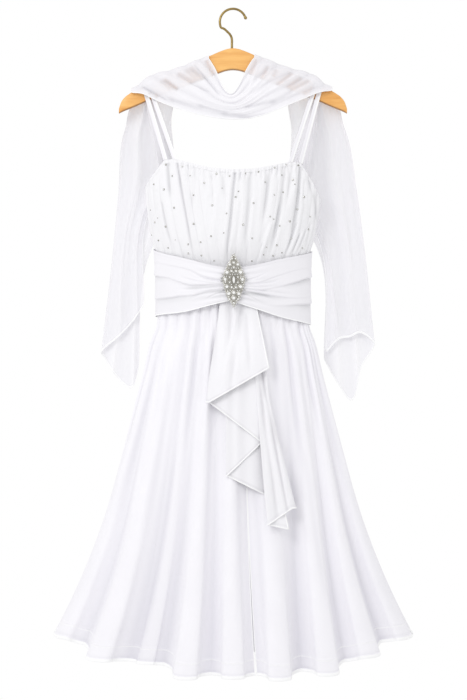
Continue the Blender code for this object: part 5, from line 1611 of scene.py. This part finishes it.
# %% A cut stone
DARK_FACETS, BRIGHT_FACETS, TABLE_TONES = (0.5, 0.3, 0.15, 0.0), (1.0, 0.95, 0.7), (1.0, 0.97)
GEM_TONES = (DARK_FACETS, (0.6, 0.3, 0.1), BRIGHT_FACETS, TABLE_TONES)
SMALL_STONE_TONES = (DARK_FACETS, (0.6, 0.4, 0.2), (0.8, 0.5, 0.2), (0.9, 0.6, 0.35))
FILL_TONES = (DARK_FACETS, (0.9, 0.5, 0.2), BRIGHT_FACETS, TABLE_TONES)
SEAT_TONE = 0.2
CUT = ((1.0, 0.0), (0.98, 0.3), (0.8, 0.7), (0.56, 1.0))


class Jewels:
    """Gathers many stones or metal parts into one mesh, with a tone for every facet."""

    def __init__(self, seed):
        self.points, self.faces, self.tones = [], [], []
        self.chance = np.random.default_rng(seed)

    def add(self, rings, place, axes, tones):
        """Rings of (right, out, up) points from the seat outwards; the last is closed as a table.

        Tones holds a choice of tones for each band between two rings, and one for the table."""
        start = len(self.points)
        right, out, up = axes
        for ring in rings:
            self.points += [tuple(place + right * a + out * b + up * c) for a, b, c in ring]
        sides = len(rings[0])
        self.faces.append(tuple(range(start, start + sides))[::-1])
        self.tones.append(SEAT_TONE)
        for r, choice in zip(range(len(rings) - 1), tones):
            low = start + r * sides
            for k in range(sides):
                a, b = low + k, low + (k + 1) % sides
                self.faces += [(a, b, b + sides), (a, b + sides, a + sides)]
                self.tones += list(self.chance.choice(choice, 2))
        self.faces.append(tuple(range(start + (len(rings) - 1) * sides, start + len(rings) * sides)))
        self.tones.append(self.chance.choice(tones[-1]))

    def piece(self, name, material, flat=True):
        mesh = bpy.data.meshes.new(name)
        mesh.from_pydata([tuple(c * MM for c in point) for point in self.points], [], self.faces)
        tone = mesh.attributes.new("tone", "FLOAT", "FACE")
        tone.data.foreach_set("value", self.tones)
        if not flat:
            mesh.shade_smooth()
            mesh.set_sharp_from_angle(angle=math.radians(40))
        print(name, len(self.faces), "faces")
        return link(name, mesh, material)


def cut_rings(half_width, half_height, rise, sides=12, lozenge=False):
    """Girdle, crown and table of a cut stone, round or pointed at both ends."""
    angles = np.linspace(0, TURN, sides, endpoint=False)
    x, z = np.cos(angles), np.sin(angles)
    if lozenge:
        x = np.sign(x) * np.abs(x) ** 1.5
    return [[(half_width * size * a, rise * height, half_height * size * b) for a, b in zip(x, z)]
            for size, height in CUT]


# %% Stones on the bodice, each in its place and with its share of the full size
Spot = namedtuple("Spot", "x z size")
SPOTS = rows_of(Spot,
    (-126, -298, 1), (-95, -303, 0.9), (-114, -321, 1), (-80, -321, 0.7), (-30, -318, 1.1),
    (-6, -323, 0.8), (-149, -334, 0.9), (-54, -334, 1), (-130, -345, 1.2), (-20, -346, 0.6),
    (-73, -356, 0.9), (5, -362, 1), (-39, -378, 1.1), (-110, -379, 1.1), (-155, -382, 0.6),
    (-12, -393, 0.8), (-148, -405, 1), (-142, -397, 0.5), (-73, -411, 1.1), (-126, -415, 1.1),
    (-17, -428, 0.7), (-41, -435, 1), (-140, -440, 0.9), (-60, -444, 0.9), (-84, -447, 1),
    (-108, -441, 0.5), (-122, -454, 0.9), (-84, -466, 1), (-59, -470, 1), (-154, -428, 0.5),
    (-35, -479, 0.9), (35, -479, 0.8), (78, -306, 1), (100, -299, 0.8), (123, -299, 1), (23, -317, 1),
    (48, -314, 1), (91, -318, 0.8), (60, -334, 0.9), (112, -328, 1), (116, -335, 0.6), (10, -350, 0.7),
    (94, -350, 0.9), (77, -356, 0.8), (38, -374, 1), (133, -359, 1.2), (121, -381, 1.1), (69, -397, 0.8),
    (76, -403, 0.8), (106, -406, 1.1), (145, -395, 0.7), (19, -412, 1.1), (87, -413, 0.8), (142, -418, 1),
    (36, -439, 0.9), (109, -438, 1), (82, -450, 1), (131, -454, 0.9), (62, -453, 0.6), (57, -468, 0.8),
    (75, -470, 0.9), (92, -463, 0.7))
STONE_RADIUS, SMALL_STONE_RISE, GLUE = 1.95, 1.4, 0.25
front_normals = sheet_normals(bodice_grid)
sparkle = Jewels(5)
for spot in SPOTS:
    away = np.hypot(bodice_grid[..., 0] - spot.x, bodice_grid[..., 2] - spot.z)
    row, column = np.unravel_index(np.argmin(away), away.shape)
    out = Vector(front_normals[row, column])
    out = out * (1 if out.y < 0 else -1)
    right = Vector((0, 0, 1)).cross(-out).normalized()
    up = out.cross(right).normalized() * -1
    size = STONE_RADIUS * spot.size
    seat = Vector(bodice_grid[row, column]) + out * GLUE
    stone = cut_rings(size, size, SMALL_STONE_RISE, sides=8)
    sparkle.add(stone, seat, (right, out, up), SMALL_STONE_TONES)
bodice_stones = hand_over(sparkle.piece("bodice_stones", glass), "silver_and_stones")
print(len(SPOTS), "stones on the bodice")

# %% [markdown]
# ## Brooch
# A flat silver plate carries rows of round stones in four claws each, around one long stone, with small ones
# between them and along the rim. One plate with a bumpy surface would be easier, but the sparkle comes from
# facets of many tones side by side, so every stone is cut on its own.

# %% Brooch
Outline = namedtuple("Outline", "z half_width")
BROOCH_OUTLINE = rows_of(Outline,
    (49.5, 1.2), (44, 4.2), (38, 7), (30, 11.8), (22, 14.6), (14, 18.2), (2, 21.8), (-12, 18.6),
    (-24, 14.8), (-34, 11), (-42, 5), (-50, 1))
BROOCH_CENTRE = Vector((1.5, 0, -517))
Stone = namedtuple("Stone", "z x radius")
STONES = rows_of(Stone,
    (46.3, 0, 2.1), (40.3, 3, 2.5), (33, 0, 3.2), (29.5, 7.4, 3.6), (24.3, 0, 3), (17.2, 4.2, 3),
    (15, 12.5, 4.4), (6, 7.6, 2.4), (2, 15.8, 4.2), (-3.5, 7.6, 2.4), (-11.5, 12.6, 4.2), (-12.8, 3.9, 3),
    (-22.5, 0, 4.2), (-24.5, 9.3, 4.2), (-32.6, 0, 4.4), (-34.5, 7.6, 2.6), (-41.5, 0, 2.6))
LONG_STONE, LONG_CLEAR = (3.9, 8.4, 4.6), (3.9, 8.8)
PLATE_TOP, SETTING = -1.4, -0.5
PLATE_PROFILE = ((0.96, 0), (0.98, 0.5), (0.98, 1.2), (0.9, 1.6))
FRONT_AXES = (Vector((1, 0, 0)), Vector((0, -1, 0)), Vector((0, 0, 1)))
plate_back = -(SASH_SECTIONS[0].front + SASH_BUNCH + WALL / 2 + SEAM)
brooch_centre = BROOCH_CENTRE + Vector((0, plate_back, 0))

metal = Jewels(3)
gems = Jewels(11)
OXIDISED, CHAMPAGNE, POLISHED = (0.05, 0.15, 0.3), (0.6, 0.75, 0.9), (0.95, 1.0)
right = [(row.half_width, row.z) for row in BROOCH_OUTLINE]
outline = right + [(-x, z) for x, z in reversed(right)]
plate = [[(x * size, rise, z * size) for x, z in outline] for size, rise in PLATE_PROFILE]
metal.add(plate, brooch_centre, FRONT_AXES, (CHAMPAGNE, CHAMPAGNE, CHAMPAGNE, (0.38,)))


def ring_of(radius, rise, sides=16):
    angles = np.linspace(0, TURN, sides, endpoint=False)
    return [(radius * math.cos(a), rise, radius * math.sin(a)) for a in angles]


def claw(place, height, thick=0.6):
    """A small rounded claw that holds a stone."""
    rings = [ring_of(thick, 0, 6), ring_of(thick, height * 0.75, 6), ring_of(thick * 0.6, height, 6)]
    metal.add(rings, place, FRONT_AXES, (CHAMPAGNE, POLISHED, POLISHED))


for row in STONES:
    for x in sorted({row.x, -row.x}):
        seat = brooch_centre + Vector((x, PLATE_TOP, row.z))
        rise = row.radius * 0.6 + 0.8
        stone = cut_rings(row.radius * 0.97, row.radius * 0.97, rise)
        gems.add(stone, seat + Vector((0, SETTING, 0)), FRONT_AXES, GEM_TONES)
        collar = [ring_of(row.radius, 0), ring_of(row.radius * 1.1, 1.0), ring_of(row.radius * 0.96, 1.3)]
        metal.add(collar, seat, FRONT_AXES, (CHAMPAGNE, POLISHED, OXIDISED))
        for turn in np.radians((45, 135, 225, 315)):
            at = Vector((math.cos(turn), 0, math.sin(turn))) * row.radius
            claw(seat + at, 0.75 * rise + 0.6)

long_seat = brooch_centre + Vector((0, PLATE_TOP, 1))
long_rings = cut_rings(*LONG_STONE, 16, True)
gems.add(long_rings, long_seat + Vector((0, SETTING, 0)), FRONT_AXES, GEM_TONES)
long_collar = [[(x * 1.12, rise, z * 1.08) for x, _, z in long_rings[0]] for rise in (0, 1.1)]
metal.add(long_collar, long_seat, FRONT_AXES, (POLISHED, OXIDISED))

# %% Small stones that fill the brooch and its rim
FILL_SPACING, ROW_SHARE, FILL_RADIUS, FILL_RISE = 4.4, 0.866, 1.75, 1.7
RIM_STONES, RIM_RADIUS, TIP_RADIUS = 40, 1.5, 1.1
Ray = namedtuple("Ray", "z reach")
RAYS = [Ray(10, 21.5), Ray(4, 24.3), Ray(-1, 24.6), Ray(-17, 21.5)]
RAY_START, RAY_SPREAD = 18, 0.08


def is_free(x, z, radius):
    """True where a small stone keeps clear of the large ones and of the long one in the middle."""
    beside = all(math.hypot(x - side * row.x, z - row.z) > row.radius + radius
                 for row in STONES for side in (-1, 1))
    return beside and (x / (LONG_CLEAR[0] + radius)) ** 2 + ((z - 1) / (LONG_CLEAR[1] + radius)) ** 2 > 1


def small_stone(x, z, radius, forward=1.5):
    place = brooch_centre + Vector((x, -forward, z))
    gems.add(cut_rings(radius, radius, FILL_RISE, 8), place, FRONT_AXES, FILL_TONES)


outline_z, outline_reach = [-o.z for o in BROOCH_OUTLINE], [o.half_width for o in BROOCH_OUTLINE]
filled = 0
for row in range(-12, 13):
    for column in range(-6, 7):
        x = (column + 0.5 * (row % 2)) * FILL_SPACING
        z = row * FILL_SPACING * ROW_SHARE
        inside = abs(x) < np.interp(-z, outline_z, outline_reach) - 2
        if inside and is_free(x, z, 1.3):
            small_stone(x, z, FILL_RADIUS)
            filled += 1
rim_line = along_curve([(x, 0, z) for x, z in outline + outline[:1]], RIM_STONES + 1)[:-1]
for x, _, z in rim_line:
    if is_free(x, z, 0.9):
        small_stone(x, z, RIM_RADIUS)
    claw(brooch_centre + Vector((x * 1.05, -0.9, z * 1.01)), 1.6, 0.6)
for side in (-1, 1):
    for ray in RAYS:
        length = ray.reach - RAY_START
        start = brooch_centre + Vector((side * RAY_START, -1.2, ray.z))
        rings = [[(side * length * t, 0.5 * math.cos(a) + 0.5, 0.5 * math.sin(a) + ray.z * RAY_SPREAD * t)
                  for a in np.linspace(0, TURN, 6, endpoint=False)] for t in (0, 0.5, 1)]
        metal.add(rings, start, FRONT_AXES, (OXIDISED, OXIDISED, OXIDISED))
        small_stone(side * ray.reach, ray.z * (1 + RAY_SPREAD), TIP_RADIUS, 1.2)
print(filled, "small stones between the large ones")
hand_over(metal.piece("brooch_metal", silver, flat=False), "silver_and_stones", "brooch")
hand_over(gems.piece("brooch_stones", glass), "silver_and_stones")

# %% [markdown]
# ## Cut of the cloth
# Each piece of cloth is listed with the size of the flat piece that it was cut from, and the area it covers
# as it hangs is printed beside it. Gathered and flared panels need more cloth than they cover: the widths are
# measured along the folds at the widest row, and the area is less than width times length where the panel
# tapers to the waist.

# %% Sheets
SHEETS = [
    (bodice_front, (0.46, 0.24), 0.085, "gathered", ["hanger_bar_wood"], [bodice_stones]),
    (bodice_back_right, (0.19, 0.18), 0.030, "hung", ["hanger_bar_wood"], []),
    (bodice_back_left, (0.19, 0.18), 0.030, "hung", ["hanger_bar_wood"], []),
    (sash_left, (0.20, 0.14), 0.021, "gathered", ["bodice_front_cloth"], []),
    (sash_right, (0.20, 0.15), 0.023, "gathered", ["bodice_front_cloth"], []),
    (sash_back, (0.34, 0.15), 0.045, "hung", ["bodice_back_left_cloth"], []),
    (panels["front_left"], (0.55, 0.75), 0.25, "hung", ["sash_front_left_satin"], [slit_left]),
    (panels["front_right"], (0.50, 0.75), 0.22, "hung", ["sash_front_right_satin"], [slit_right]),
    (panels["back_right"], (0.55, 0.74), 0.24, "hung", ["sash_back_satin"], []),
    (panels["back_left"], (0.55, 0.74), 0.24, "hung", ["sash_back_satin"], []),
    (cascade, (0.50, 0.45), 0.10, "draped", ["sash_front_left_satin"], [cascade_edge]),
    (drape_cowl, (0.47, 0.15), 0.04, "draped", ["hanger_bar_wood"], [cowl_neck_edge, cowl_lower_edge]),
    (drape_ends[0][0], (0.25, 0.60), 0.11, "hung", ["drape_cowl_chiffon"], [drape_ends[0][1]]),
    (drape_ends[1][0], (0.28, 0.62), 0.12, "hung", ["drape_cowl_chiffon"], [drape_ends[1][1]])]
for piece, flat, area, held, rests_on, others in SHEETS:
    faces = 1 if "chiffon" in piece.name else 2
    measured = sum(face.area for face in piece.data.polygons) / faces
    print(f"{piece.name}: cut {flat}, {area} m2, hangs with {measured:.4f} m2, ratio {measured / area:.2f}")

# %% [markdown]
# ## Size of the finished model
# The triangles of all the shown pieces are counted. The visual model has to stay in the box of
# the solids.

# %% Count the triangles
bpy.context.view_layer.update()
meshes = [piece.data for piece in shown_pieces() if piece.type == "MESH"]
print("triangles:", sum(len(face.vertices) - 2 for mesh in meshes for face in mesh.polygons))
